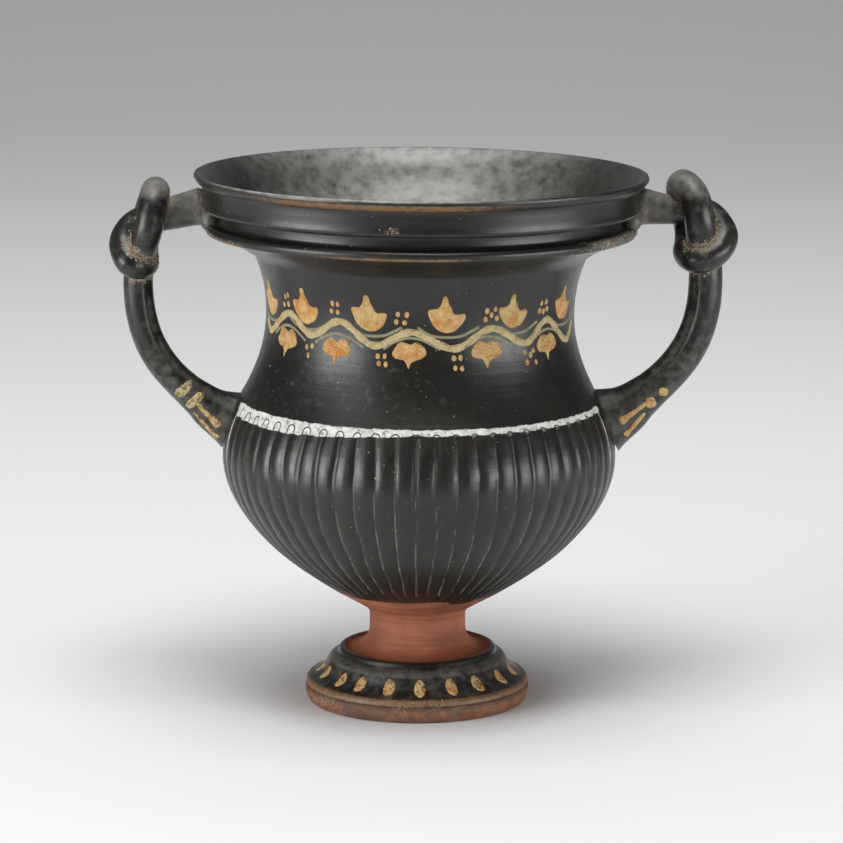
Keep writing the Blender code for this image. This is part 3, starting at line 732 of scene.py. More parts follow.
gouge, known = start_tree("gouged ribs", {
    "Ribs": "Float", "Half Angle": "Float", "Turn": "Float", "Depth": "Float", "Groove Share": "Float",
    "Top": "Float", "Foot": "Float", "Waver": "Float", "Material": "Material",
})
follow(gouge, known, (
    *((name, "GeometryNodeInputNamedAttribute", "FLOAT", {"Name": name})
      for name in ("azimuth", "radius", "height", "outside")),
    # Both panels are turned onto one, with the azimuth counted from its middle.
    ("turned", "Math", "SUBTRACT", "azimuth", "Turn"),
    ("panel", "Math", "WRAP", "turned", 90.0, -90.0),
    ("span", "Math", "MULTIPLY", "Half Angle", 2.0),
    ("pitch", "Math", "DIVIDE", "span", "Ribs"),
    ("shifted", "Math", "ADD", "panel", "Half Angle"),
    ("count", "Math", "DIVIDE", "shifted", "pitch"),
    # A slow noise makes every gouge line waver as it runs down.
    ("spot", "GeometryNodeInputPosition", None),
    ("drift", "TexNoise", {"normalize": False}, {"Vector": "spot", "Scale": 1 / (14 * MM), "Detail": 1.0}),
    ("sway", "Math", "MULTIPLY", "drift", "Waver"),
    ("wavy", "Math", "ADD", "count", "sway"),
    ("capped", "Clamp", None, "wavy", 0.0, "Ribs"),
    ("beyond", "Math", "SUBTRACT", "wavy", "capped"),
    ("away", "Math", "ABSOLUTE", "beyond"),
    ("fold", "Math", "PINGPONG", "capped", 0.5),
    ("phase", "Math", "ADD", "fold", "away"),
    # Above the top of the ribs the distance grows upwards too, which rounds each top end.
    ("turn", "Math", "RADIANS", "pitch"),
    ("width", "Math", "MULTIPLY", "turn", "radius"),
    ("above", "Math", "SUBTRACT", "height", "Top"),
    ("over", "Math", "MAXIMUM", "above", 0.0),
    ("rise", "Math", "DIVIDE", "over", "width"),
    ("both", "CombineXYZ", None, "phase", "rise"),
    ("apart", "VectorMath", "LENGTH", "both"),
    # The groove is a round-bottomed scoop, and the rib between two is a shallow bulge.
    ("scoop", "MapRange", "SMOOTHSTEP", "apart", 0.0, "Groove Share", 1.0, BULGE),
    ("bulge", "MapRange", "SMOOTHSTEP", "apart", "Groove Share", 0.5, 0.0, BULGE),
    ("cut", "Math", "SUBTRACT", "scoop", "bulge"),
    ("low end", "Math", "ADD", "Foot", FADE_BELOW),
    ("start", "MapRange", "SMOOTHSTEP", "height", "Foot", "low end"),
    ("high end", "Math", "ADD", "Top", FADE_ABOVE),
    ("stop", "MapRange", "LINEAR", "height", "high end", "Top"),
    ("share", "Math", "MULTIPLY", "start", "stop"),
    ("amount", "Math", "MULTIPLY", "cut", "share"),
    # No two cuts are equally deep, and each one gets deeper and shallower along its way.
    ("press", "TexNoise", None, {"Vector": "spot", "Scale": 1 / (8 * MM), "Detail": 2.0}),
    ("uneven", "MapRange", "LINEAR", "press", 0.0, 1.0, 0.45, 1.55),
    ("deep", "Math", "MULTIPLY", "uneven", "Depth"),
    ("sunk", "Math", "MULTIPLY", "amount", "deep"),
    ("inward", "Math", "MULTIPLY", "sunk", -MM),
    ("bearing", "Math", "RADIANS", "azimuth"),
    ("sine", "Math", "SINE", "bearing"),
    ("cosine", "Math", "COSINE", "bearing"),
    ("minus", "Math", "MULTIPLY", "cosine", -1.0),
    ("outward", "CombineXYZ", None, "sine", "minus"),
    ("push", "VectorMath", "SCALE", {0: "outward", "Scale": "inward"}),
    # Only the outside moves, and below the ribs the groove counts as far away.
    ("plain", "Math", "SUBTRACT", 1.0, "start"),
    ("far", "Math", "MULTIPLY", "plain", FAR),
    ("groove", "Math", "MULTIPLY_ADD", "apart", "width", "far"),
    ("marked", "GeometryNodeStoreNamedAttribute", {"data_type": "FLOAT", "domain": "POINT"},
     {"Geometry": "Geometry", "Selection": "outside", "Name": "groove", "Value": "groove"}),
    ("moved", "GeometryNodeSetPosition", None,
     {"Geometry": "marked", "Selection": "outside", "Offset": "push"}),
))
end_tree(gouge, known, "moved")
run_tree(pieces["cup"], gouge, {
    "Ribs": float(RIBS_PER_PANEL), "Half Angle": PANEL_HALF_DEGREES, "Turn": PANEL_TURN_DEGREES,
    "Depth": RIB_DEPTH, "Groove Share": GOUGE_HALF_SHARE, "Top": GOUGE_TOP,
    "Foot": RIB_FOOT_HEIGHT, "Waver": 0.12, "Material": finishes["black_slip"],
})
for name, finish in (("left_handle", "black_slip"), ("right_handle", "black_slip"), ("stem", "red_clay")):
    pieces[name].data.materials.append(finishes[finish])

# %% [markdown]
# ## The painted ivy
# The painter ran a waving stem round the neck, hung leaves above and below it,
# and dotted berries between them. Brushed slip is a thin skin with an edge of
# its own, so each stroke here is an outline that is filled with small
# triangles, closed into a thin shell, and laid on the clay. The outlines are
# drawn flat, in millimetres along the neck and up it.

# %% Functions that turn an outline into a shell of paint
def inside_outline(points, outline):
    """Return which points lie inside a closed outline."""
    inside_now = np.zeros(len(points), bool)
    for (x0, y0), (x1, y1) in zip(outline, np.roll(outline, -1, axis=0)):
        crosses = (y0 > points[:, 1]) != (y1 > points[:, 1])
        level = (points[:, 1] - y0) / (y1 - y0 if y1 != y0 else 1e-9)
        inside_now ^= crosses & (points[:, 0] < x0 + level * (x1 - x0))
    return inside_now


def shell(outline, spacing=0.8):
    """Return the flat points, the rise and the faces of a thin closed shell of paint."""
    outline = np.asarray(outline, float)
    after = np.roll(outline, -1, axis=0)
    if np.sum(outline[:, 0] * after[:, 1] - after[:, 0] * outline[:, 1]) < 0:
        outline = outline[::-1]
    low, high = outline.min(axis=0), outline.max(axis=0)
    xs, ys = np.arange(low[0], high[0], spacing), np.arange(low[1], high[1], spacing)
    grid = np.array([(x + (j % 2) * spacing / 2, y) for j, y in enumerate(ys) for x in xs]).reshape(-1, 2)
    grid = grid[inside_outline(grid, outline)]
    gaps = np.linalg.norm(grid[:, None] - outline[None], axis=2).min(axis=1) if len(grid) else []
    grid = grid[np.asarray(gaps) > 0.45 * spacing] if len(grid) else grid
    flat = np.concatenate([outline, grid]) if len(grid) else outline
    edges = [(i, (i + 1) % len(outline)) for i in range(len(outline))]
    made = delaunay_2d_cdt([Vector(point) for point in flat], edges, [], 1, 1e-6)
    flat = np.array([tuple(point) for point in made[0]])
    front = [tuple(face) for face in made[2]]
    sides = {(a, b) for face in front for a, b in zip(face, face[1:] + face[:1])}
    rim = [(a, b) for a, b in sides if (b, a) not in sides]
    rise = np.ones(len(flat))
    rise[[a for a, _ in rim]] = 0.35
    count = len(flat)
    shell_faces = front + [tuple(v + count for v in face[::-1]) for face in front]
    shell_faces += [(b, a, a + count, b + count) for a, b in rim]
    return np.concatenate([flat, flat]), np.concatenate([rise, np.full(count, -1.0)]), shell_faces


def smooth_loop(corners, steps=5, closed=True):
    """Return a rounded outline or line through corner points."""
    corners = np.asarray(corners, float)
    if closed:
        ends = np.concatenate([corners[-1:], corners, corners[:2]])
    else:
        ends = np.concatenate([corners[:1], corners, corners[-1:]])
    path = []
    for a, b, c, d in zip(ends, ends[1:], ends[2:], ends[3:]):
        path += [between(a, b, c, d, t) for t in np.arange(steps) / steps]
    return np.array(path if closed else path + [corners[-1]])


def ribbon(line_points, widths):
    """Return the outline of a brush stroke along a line, as wide as asked at each point."""
    heading = np.gradient(line_points, axis=0)
    heading /= np.linalg.norm(heading, axis=1, keepdims=True)
    side = np.stack([-heading[:, 1], heading[:, 0]], axis=1) * np.asarray(widths)[:, None] / 2
    return np.concatenate([line_points - side, (line_points + side)[::-1]])


# %% The strokes of the ivy, in azimuth degrees and millimetres of height
NECK_STEP = 45.5
VINE_CRESTS = ((-56, 119.0), (-30, 118.9), (-3, 117.0), (26.6, 117.5), (53.2, 118.1))
VINE_TROUGHS = ((-70.8, 112.4), (-43.3, 113.9), (-16.7, 112.8), (12.3, 112.2), (41.4, 112.4), (66.9, 110.9))
UPPER_LEAVES = (-71.3, -46.0, -18.5, 9.5, 35.5, 64.3)
LOWER_LEAVES = (-57.0, -31.5, -3.8, 24.6, 53.0)
# Outlines from the leaf's middle, in millimetres: a three-lobed leaf and a hanging one.
UPPER_LEAF = (
    (-1.2, 5.0), (-0.6, 5.3), (0.0, 4.9), (0.2, 4.0), (0.5, 3.0), (1.1, 2.0), (1.6, 1.0), (2.3, 0.2),
    (3.4, 0.2), (4.6, 0.3), (5.2, -0.3), (4.9, -1.6), (3.9, -3.2), (2.3, -4.5), (0.2, -5.0),
    (-1.9, -4.5), (-3.6, -3.1), (-4.7, -1.2), (-5.3, 0.6), (-4.9, 1.5), (-3.8, 1.6), (-2.6, 1.8),
    (-1.9, 2.6), (-1.5, 3.8),
)
LOWER_LEAF = (
    (0.3, 2.9), (1.6, 3.8), (3.2, 3.2), (4.6, 1.6), (4.9, 0.1), (3.6, -1.1), (1.6, -1.7), (0.5, -2.4),
    (-0.3, -4.2), (-0.9, -2.6), (-1.8, -1.6), (-3.9, -1.2), (-5.0, 0.2), (-4.4, 1.9), (-3.0, 3.5),
    (-1.2, 3.6),
)

# %% Draw the vine, the leaves and the twigs
def arc(points):
    """Return points given in degrees and height as millimetres along and up the neck."""
    points = np.array(points, float)
    points[:, 0] = np.radians(points[:, 0]) * NECK_STEP
    return points


drawing = np.random.default_rng(7)
knots = sorted(VINE_CRESTS + VINE_TROUGHS) + [(76.0, 115.4)]
knots = [(-77.5, 115.2)] + knots
vine = smooth_loop(arc(knots), steps=9, closed=False)
strokes = [(ribbon(vine, 2.05 + 0.25 * np.sin(np.arange(len(vine)) * 1.7)), 0.12)]
# Each row: turns, leaf, its height and wobble, twig from the vine, and the twig's two widths.
for turns, leaf_outline, leaf_height, wobble, twig_line, twig_widths in (
    (UPPER_LEAVES, UPPER_LEAF, 121.9, 0.07, (
        (-10.5, 118.4), (-6, 116.2), (-1, 115.5), (5, 115.7), (9, 117.0), (12, 118.2)), (0.65, 0.95)),
    (LOWER_LEAVES, LOWER_LEAF, 110.6, 0.10, (
        (-9.5, 112.0), (-6, 113.9), (-1, 115.3), (4, 114.9), (8, 113.4), (11, 112.0)), (0.95, 0.65)),
):
    for turn_degrees in turns:
        size = drawing.uniform(0.93, 1.06)
        leaf = np.array(leaf_outline) * size + drawing.normal(0, wobble, (len(leaf_outline), 2))
        middle = arc([(turn_degrees, leaf_height)])[0]
        strokes.append((smooth_loop(leaf, 4) + middle, drawing.uniform(0.65, 1.0)))
        twig = smooth_loop(arc([(turn_degrees + x, z) for x, z in twig_line]), 4, closed=False)
        strokes.append((ribbon(twig, np.linspace(*twig_widths, len(twig))), -0.3))
print("Strokes of the ivy on one side:", len(strokes))


# %% Wrap the strokes round the neck, on both sides
def gather(shells):
    """Join shells of points, rise, faces, tone and press direction into arrays for one mesh."""
    points, rise, shell_faces, tone, press = zip(*shells)
    base = np.cumsum([0] + [len(own) for own in points])
    moved = [tuple(v + start for v in face) for start, own in zip(base, shell_faces) for face in own]
    tones = [np.full(len(own), value) for own, value in zip(points, tone)]
    return np.concatenate(points), np.concatenate(rise), moved, np.concatenate(tones), np.concatenate(press)


def store_vectors(piece, fields):
    """Store vector fields on a piece's points."""
    for field, values in fields.items():
        layer = piece.data.attributes.new(field, "FLOAT_VECTOR", "POINT")
        layer.data.foreach_set("vector", np.asarray(values, np.float32).ravel())


def paint_piece(name, shells, rub):
    """Return a piece of painted shells with their rise, tone and press direction as fields."""
    points, rise, shell_faces, tone, press = gather(shells)
    rubs = np.full(len(points), rub)
    piece = make_piece(name, points, shell_faces, {"rise": rise, "tone": tone, "rub": rubs}, sharp=180)
    store_vectors(piece, {"press": press})
    return piece

# %% Make the ivy
ivy_shells = []
for half_turn in (0.0, math.pi):
    for outline, tone in strokes:
        flat, rise, shell_faces = shell(outline)
        turn_at = flat[:, 0] / NECK_STEP + half_turn
        stand_off = wall_radius(flat[:, 1])[0] + 2.0
        spots = place(turn_at, stand_off, flat[:, 1])
        press = np.stack([-np.sin(turn_at), np.cos(turn_at), 0 * turn_at], axis=1)
        ivy_shells.append((spots, rise, shell_faces, tone, press))
pieces["ivy"] = paint_piece("ivy", ivy_shells, 0.12)
print("Ivy faces before it is pressed on:", len(pieces["ivy"].data.polygons))

# %% [markdown]
# ## Dots, dashes and handle strokes
# The berries are touches of a loaded brush, so one lens-shaped touch serves for
# all of them: it is stamped at each point, turned to lie on the clay and given
# a size of its own. The dashes on the foot are the same touch drawn long. The
# strokes on the handles are outlines again, drawn as the viewer sees them.

# %% Where the dots and dashes sit
BERRIES = (
    (-59.0, 121.2), (-57.6, 123.6), (-56.0, 121.6), (-55.6, 124.2),
    (-33.5, 121.7), (-32.9, 123.9), (-30.9, 121.5), (-30.7, 123.8),
    (-8.6, 119.8), (-8.0, 122.0), (-5.6, 119.6), (-4.8, 121.9),
    (23.9, 120.2), (24.4, 122.6), (26.2, 121.4), (27.6, 123.0), (28.4, 120.4),
    (48.4, 121.0), (49.0, 123.2), (50.6, 120.7), (51.6, 123.4), (52.6, 121.3),
    (-45.1, 110.4), (-43.9, 108.2), (-42.4, 110.9),
    (-15.1, 109.9), (-14.6, 107.9), (-12.6, 110.0), (-12.1, 107.8),
    (12.1, 109.6), (12.5, 106.9), (14.5, 109.7), (14.9, 106.7),
    (40.7, 109.9), (41.3, 107.0), (43.3, 108.9), (45.0, 110.0), (45.7, 106.7),
)
# Azimuth, lean and length share of each dash on the front of the foot.
DASHES = (
    (-88.0, 0.35, 0.9), (-71.8, 0.34, 0.95), (-51.4, 0.26, 1.0), (-35.8, 0.18, 1.0), (-16.7, 0.04, 1.0),
    (1.7, 0.0, 1.15), (20.9, -0.12, 1.0), (38.7, -0.2, 1.0), (59.7, -0.28, 0.95), (80.0, -0.32, 0.9),
)
TOUCH_SIDES = 10
DASH_HEIGHT = 8.9

# %% Functions that make one touch and the points for stamping it
def touch(name):
    """Return one closed lens-shaped touch of paint, 1 m wide, to be scaled when stamped."""
    angle = 2 * np.pi * np.arange(TOUCH_SIDES) / TOUCH_SIDES
    flat, rise = [(0, 0)], [1.0]
    for share, lift in ((0.30, 0.95), (0.5, 0.3), (0.5, -1.0)):
        flat += [(share * math.cos(a), share * math.sin(a)) for a in angle]
        rise += [lift] * TOUCH_SIDES
    flat, rise = flat + [(0, 0)], rise + [-1.0]
    ring = np.arange(TOUCH_SIDES)
    after = np.roll(ring, -1)
    touch_faces = [(0, 1 + i, 1 + j) for i, j in zip(ring, after)]
    for level in (0, 1):
        low, high = 1 + level * TOUCH_SIDES, 1 + (level + 1) * TOUCH_SIDES
        touch_faces += [(low + i, high + i, high + j, low + j) for i, j in zip(ring, after)]
    low = 1 + 2 * TOUCH_SIDES
    touch_faces += [(low + i, len(flat) - 1, low + j) for i, j in zip(ring, after)]
    points = np.concatenate([np.array(flat), np.zeros((len(flat), 1))], axis=1)
    piece = make_piece(name, points, touch_faces, {"rise": np.array(rise)}, sharp=180)
    piece.hide_render = True
    return piece


def stamp_points(name, spots, normals, uprights, sizes, tone, rub):
    """Return a piece of bare points that carry where and how each touch is stamped."""
    piece = make_piece(name, spots, [], {
        "tone": np.full(len(spots), tone), "rub": np.full(len(spots), rub)})
    store_vectors(piece, {"press": -np.asarray(normals), "upright": uprights, "size": sizes})
    return piece

# %% Set out the dots and the dashes
berry_turn = np.radians([a for a, _ in BERRIES] * 2) + np.repeat([0, math.pi], len(BERRIES))
berry_height = np.array([z for _, z in BERRIES] * 2)
berry_out = np.stack([np.sin(berry_turn), -np.cos(berry_turn), 0 * berry_turn], axis=1)
pieces["berries"] = stamp_points(
    "berries", place(berry_turn, wall_radius(berry_height)[0] + 2, berry_height), berry_out,
    np.tile([0, 0, 1.0], (len(berry_turn), 1)), np.tile([1.35 * MM, 1.75 * MM, 1.0], (len(berry_turn), 1)),
    0.75, 0.1)

dashes = list(DASHES)
while dashes[-1][0] < 360 + DASHES[0][0] - 26:
    dashes.append((
        dashes[-1][0] + drawing.uniform(17.6, 19.8), drawing.uniform(-0.15, 0.15),
        drawing.uniform(0.9, 1.1)))
dash_turn, dash_lean, dash_length = np.array(dashes).T
dash_turn = np.radians(dash_turn)
dash_out = np.stack([0.62 * np.sin(dash_turn), -0.62 * np.cos(dash_turn), 0 * dash_turn + 0.78], axis=1)
dash_up = np.stack([
    -0.78 * np.sin(dash_turn) + dash_lean * np.cos(dash_turn),
    0.78 * np.cos(dash_turn) + dash_lean * np.sin(dash_turn), 0 * dash_turn + 0.62], axis=1)
dash_spots = place(dash_turn, np.full(len(dashes), 28.0), np.full(len(dashes), DASH_HEIGHT))
pieces["foot_dashes"] = stamp_points(
    "foot_dashes", dash_spots + dash_out * 3 * MM, dash_out, dash_up,
    np.array([(3.4 * MM, 5.5 * MM * length, 1.0) for length in dash_length]), 0.8, 0.40)

# %% The strokes on the handles, in x and z as the viewer sees them
HANDLE_STROKES = (
    (((-66.9, 95.6), (-71.6, 91.2)), (2.4, 3.4), -0.05),
    (((-63.6, 92.4), (-68.6, 87.9)), (2.6, 2.6), 0.1),
    (((-65.4, 89.2), (-63.5, 87.0), (-61.0, 84.4), (-58.9, 82.6)), (1.3, 1.3, 2.0, 3.0), 0.45),
    (((-66.6, 86.4), (-63.6, 83.0), (-61.4, 80.4), (-59.6, 78.8)), (0.8, 1.2, 1.3, 2.2), 0.5),
    (((70.9, 93.9), (70.4, 91.4)), (2.6, 2.8), 0.85),
    (((66.4, 91.0), (67.6, 87.9)), (2.8, 3.0), 0.8),
    (((65.9, 89.6), (63.0, 87.4), (60.4, 85.6), (58.0, 83.9)), (1.3, 1.3, 1.6, 3.0), 0.7),
    (((65.4, 86.4), (63.0, 83.6), (61.2, 81.4), (59.6, 79.6)), (0.9, 1.3, 1.2, 2.4), 0.9),
)
stroke_shells = {"left": [], "right": []}
for corners, widths, tone in HANDLE_STROKES:
    path = smooth_loop(corners, 4, closed=False)
    width = np.interp(np.linspace(0, 1, len(path)), np.linspace(0, 1, len(widths)), widths)
    from_start = np.arange(len(path))
    ends = np.sqrt(np.clip(np.minimum(from_start, from_start[::-1]) / 1.2 + 0.25, 0, 1))
    flat, rise, shell_faces = shell(ribbon(path, width * ends), 0.6)
    spots = np.stack([flat[:, 0], np.full(len(flat), -30.0), flat[:, 1]], axis=1) * MM
    press = np.tile([0, 1.0, 0], (len(flat), 1))
    side = "left" if corners[0][0] < 0 else "right"
    stroke_shells[side].append((spots, rise, shell_faces, tone, press))
for side, shells in stroke_shells.items():
    pieces[side + "_strokes"] = paint_piece(side + "_strokes", shells, 0.44 if side == "left" else 0.25)
print("Berries:", len(berry_turn), "dashes:", len(dashes), "handle strokes:", len(HANDLE_STROKES))

# %% [markdown]
# ## Pressing the paint onto the clay
# Each shell still floats off the pot. One part of a tree shoots every point
# along its own press direction onto the clay and lifts it again by the
# thickness of the paint, so the paint follows every bump. A second tree stamps
# the touches first: it turns each one to face outward, gives it a slightly
# different size from a fixed seed, and then presses it the same way.

# %% The pressing and stamping trees
PRESS_REACH = 0.08


def join_objects(tree, join, things):
    """Feed the meshes of several objects into one Join Geometry node."""
    for thing in things:
        info = add_node(tree, "GeometryNodeObjectInfo", {"Object": thing})
        tree.links.new(info.outputs["Geometry"], join.inputs[0])


def press_on(tree, known, geometry):
    """Add the steps that shoot points onto the clay and lift them by the paint's thickness."""
    follow(tree, known, (
        ("clay", "GeometryNodeJoinGeometry", None),
        ("way", "GeometryNodeInputNamedAttribute", "FLOAT_VECTOR", {"Name": "press"}),
        ("lift", "GeometryNodeInputNamedAttribute", "FLOAT", {"Name": "rise"}),
        ("hit", "GeometryNodeRaycast", None,
         {"Target Geometry": "clay", "Ray Direction": "way", "Ray Length": PRESS_REACH}),
        ("up", "Math", "MULTIPLY", "lift", "Thickness"),
    ))
    join_objects(tree, known["clay"], (known["Target"], known["Second Target"]))
    known.update({name: known["hit"].outputs[name] for name in ("Is Hit", "Hit Position", "Hit Normal")})
    follow(tree, known, (
        ("raised", "VectorMath", "SCALE", {0: "Hit Normal", "Scale": "up"}),
        ("landing", "VectorMath", "ADD", "Hit Position", "raised"),
        ("laid", "GeometryNodeSetPosition", None,
         {"Geometry": geometry, "Selection": "Is Hit", "Position": "landing"}),
    ))
    end_tree(tree, known, "laid")

# %% The two trees
press_sockets = {
    "Target": "Object", "Second Target": "Object", "Thickness": "Float", "Material": "Material"}
press_tree, known = start_tree("pressed paint", press_sockets)
press_on(press_tree, known, "Geometry")

stamp_tree, known = start_tree("stamped paint", {
    "Touch": "Object", "Seed": "Int", "Spread": "Float", **press_sockets})
follow(stamp_tree, known, (
    *((name, "GeometryNodeInputNamedAttribute", "FLOAT_VECTOR", {"Name": name})
      for name in ("press", "upright", "size")),
    ("facing", "VectorMath", "SCALE", {0: "press", "Scale": -1.0}),
    ("faced", "FunctionNodeAlignRotationToVector", {"axis": "Z"}, {"Vector": "facing"}),
    ("turned", "FunctionNodeAlignRotationToVector", {"axis": "Y", "pivot_axis": "Z"},
     {"Rotation": "faced", "Vector": "upright"}),
    ("least", "Math", "SUBTRACT", 1.0, "Spread"),
    ("most", "Math", "ADD", 1.0, "Spread"),
    ("chance", "FunctionNodeRandomValue", "FLOAT_VECTOR", {"Min": "least", "Max": "most", "Seed": "Seed"}),
    ("scaled", "VectorMath", "MULTIPLY", "size", "chance"),
    ("mould", "GeometryNodeObjectInfo", None, {"Object": "Touch"}),
))
known["shape"] = known["mould"].outputs["Geometry"]
follow(stamp_tree, known, (
    ("stamped", "GeometryNodeInstanceOnPoints", None,
     {"Points": "Geometry", "Instance": "shape", "Rotation": "turned", "Scale": "scaled"}),
    ("stamps", "GeometryNodeRealizeInstances", None, "stamped"),
))
press_on(stamp_tree, known, "stamps")

# %% Press everything on
brush_touch = touch("brush_touch")
onto_cup = {"Target": pieces["cup"], "Second Target": pieces["cup"], "Thickness": 0.12 * MM,
            "Material": finishes["cream_slip"]}
run_tree(pieces["ivy"], press_tree, onto_cup)
run_tree(pieces["berries"], stamp_tree, {**onto_cup, "Touch": brush_touch, "Seed": 3, "Spread": 0.14})
run_tree(pieces["foot_dashes"], stamp_tree, {**onto_cup, "Touch": brush_touch, "Seed": 5, "Spread": 0.08})
for side in ("left", "right"):
    run_tree(pieces[side + "_strokes"], press_tree, {
        **onto_cup, "Second Target": pieces[side + "_handle"]})
bpy.data.objects.remove(brush_touch)

# %% [markdown]
# ## Pads, crust and specks
# Where each arm meets the rim, the potter smeared a little pad of clay down
# onto the flange. Burial left a buff crust in the crevices of the knots and
# loose specks on the slip. A crust is grains that cling wherever two surfaces
# come close, so a tree scatters small grains by a field of closeness. The
# specks come from the same tree with fewer and smaller grains.

# %% The clay pads under the arms
# Distance from the cup's axis, distance towards the viewer, height and thickness.
PAD_STATIONS = (
    (61.4, 5.0, 146.8, 1.4), (60.8, 6.2, 145.2, 3.0), (60.6, 7.4, 142.8, 3.1), (59.6, 8.6, 140.6, 1.7),
)
for name, side in (("left_pad", -1), ("right_pad", 1)):
    stations = np.array([
        (lean_of(z) + side * x, -y, z, size, 1.0) for x, y, z, size in PAD_STATIONS])
    pad_points, pad_faces, _ = sweep(smooth_curve(stations, STRAND_SPACING), STRAND_SIDES)
    pieces[name] = make_piece(name, pad_points, pad_faces, slip_fields(
        len(pad_points), wear=0.3, dust=0.78), sharp=60)
    pieces[name].data.materials.append(finishes["black_slip"])

# %% The tree that scatters grains
CLUMP_SIZE = 2.6 * MM
scatter, known = start_tree("clinging grains", {
    "Surface": "Object", "Second Surface": "Object", "Field": "String", "Density": "Float",
    "Smallest": "Float", "Largest": "Float", "Flatness": "Float", "Seed": "Int", "Material": "Material",
})
follow(scatter, known, (
    ("grounds", "GeometryNodeJoinGeometry", None),
    ("closeness", "GeometryNodeInputNamedAttribute", "FLOAT", {"Name": known["Field"]}),
    # Squaring the field keeps most grains close to the line where the surfaces meet.
    ("squared", "Math", "MULTIPLY", "closeness", "closeness"),
    ("crowd", "Math", "MULTIPLY", "squared", "Density"),
    # A crust grows in clumps, so noise leaves parts of the surface clean.
    ("here", "GeometryNodeInputPosition", None),
    ("noise", "TexNoise", None, {"Vector": "here", "Scale": 1 / CLUMP_SIZE, "Detail": 3.0}),
    ("clumps", "MapRange", "SMOOTHSTEP", "noise", 0.42, 0.58),
    ("clumped", "Math", "MULTIPLY", "crowd", "clumps"),
    ("spread", "GeometryNodeDistributePointsOnFaces", None,
     {"Mesh": "grounds", "Density": "clumped", "Seed": "Seed"}),
    ("grain", "GeometryNodeMeshIcoSphere", None, {"Radius": 1.0, "Subdivisions": 1}),
    ("girth", "FunctionNodeRandomValue", "FLOAT",
     {"Min": "Smallest", "Max": "Largest", "Seed": "Seed"}),
    ("thickness", "Math", "MULTIPLY", "girth", "Flatness"),
    ("shape", "CombineXYZ", None, "girth", "girth", "thickness"),
))
join_objects(scatter, known["grounds"], (known["Surface"], known["Second Surface"]))
grains = add_node(scatter, "GeometryNodeInstanceOnPoints", {
    "Points": known["spread"], "Instance": known["grain"],
    "Rotation": known["spread"].outputs["Rotation"], "Scale": known["shape"]})
end_tree(scatter, known, grains)

# %% Crust in the knots and on the rim, and specks on the slip
# Field, two surfaces, grains a square metre, smallest and largest in mm, flatness and seed.
for name, field, surface, second, density, smallest, largest, flatness, seed in (
    ("knot_crust", "crust", "left_handle", "right_handle", 1.3e7, 0.10, 0.38, 0.50, 4),
    ("rim_crust", "crust", "cup", "left_pad", 7.0e6, 0.10, 0.32, 0.45, 6),
    ("neck_specks", "speck", "cup", "left_handle", 2.2e4, 0.07, 0.20, 0.50, 9),
):
    pieces[name] = make_piece(name, [], [])
    run_tree(pieces[name], scatter, {
        "Surface": pieces[surface], "Second Surface": pieces[second], "Field": field,
        "Density": density, "Smallest": smallest * MM, "Largest": largest * MM,
        "Flatness": flatness, "Seed": seed, "Material": finishes["buff_crust"]})

# %% [markdown]
# ## Finishes in coats
# The pot's surface is built as it was made: red clay first, black slip over
# it, white and dust on top, and wear through all of them. Some of the pale
# coats also stand for painted sheen and highlights, and the stain partly for
# painted shade. A coat is a colour, a roughness and a relief in millimetres.
# Each one is laid over the coats below by a mask, so every edge shows in the
# colour, in the sheen and in the light on its small step at once.

# %% Functions that lay coats
def coat(colour, roughness, relief):
    """Return a coat, whose colour may be a hex value, a node or a socket."""
    return {"colour": linear(colour) if isinstance(colour, str) else colour,
            "roughness": roughness, "relief": relief}


def patchy(tree, spot, size, low, high, seed, detail=4.0, roughness=0.6, to=(0.0, 1.0)):
    """Return a random mask with patches of a size in mm, cut between two levels of noise."""
    known = {"spot": spot}
    follow(tree, known, (
        ("noise", "TexNoise", {"noise_dimensions": "4D"}, {
            "Vector": "spot", "W": seed, "Scale": 1 / (size * MM), "Detail": detail,
            "Roughness": roughness}),
        ("cut", "MapRange", "LINEAR", "noise", low, high, *to),
    ))
    return known["cut"]


def lay(tree, under, over, share):
    """Lay one coat over another by a mask, in colour, roughness and relief."""
    mixed = {}
    follow(tree, mixed, (
        (key, "Mix", kind, {0: share, first: under[key], first + 1: over[key]})
        for key, kind, first in (("colour", "RGBA", 6), ("roughness", "FLOAT", 2), ("relief", "FLOAT", 2))
    ))
    return mixed


def ragged(tree, distance, spot, size, depth, soft, seed):
    """Return a mask of a distance field in mm, with its edge broken up by noise."""
    swing = patchy(tree, spot, size, 0.3, 0.7, seed, 5.0, 0.65, (-depth, depth))
    total = add_node(tree, "ShaderNodeMath", {0: distance, 1: swing}, operation="ADD")
    return add_node(tree, "ShaderNodeMapRange", {0: total, 1: -soft, 2: soft})

# %% Functions that open and end a material
def read_fields(tree, *names):
    """Return the sockets that read some of the piece's number fields."""
    return {
        name: add_node(tree, "ShaderNodeAttribute", attribute_name=name).outputs["Fac"]
        for name in names
    }


def finish_with(tree, coats, specular=0.5):
    """End a material with its coats on a surface shader."""
    bump = add_node(tree, "ShaderNodeBump", {
        "Height": coats["relief"], "Distance": MM, "Strength": 1.0})
    surface = add_node(tree, "ShaderNodeBsdfPrincipled", {
        "Base Color": coats["colour"], "Roughness": coats["roughness"],
        "Normal": bump, "Specular IOR Level": specular})
    add_node(tree, "ShaderNodeOutputMaterial", {0: surface})


def open_tree(material):
    """Return a material's emptied node tree and the object coordinates in it."""
    material.use_nodes = True
    tree = material.node_tree
    tree.nodes.clear()
    return tree, add_node(tree, "ShaderNodeTexCoord").outputs["Object"]


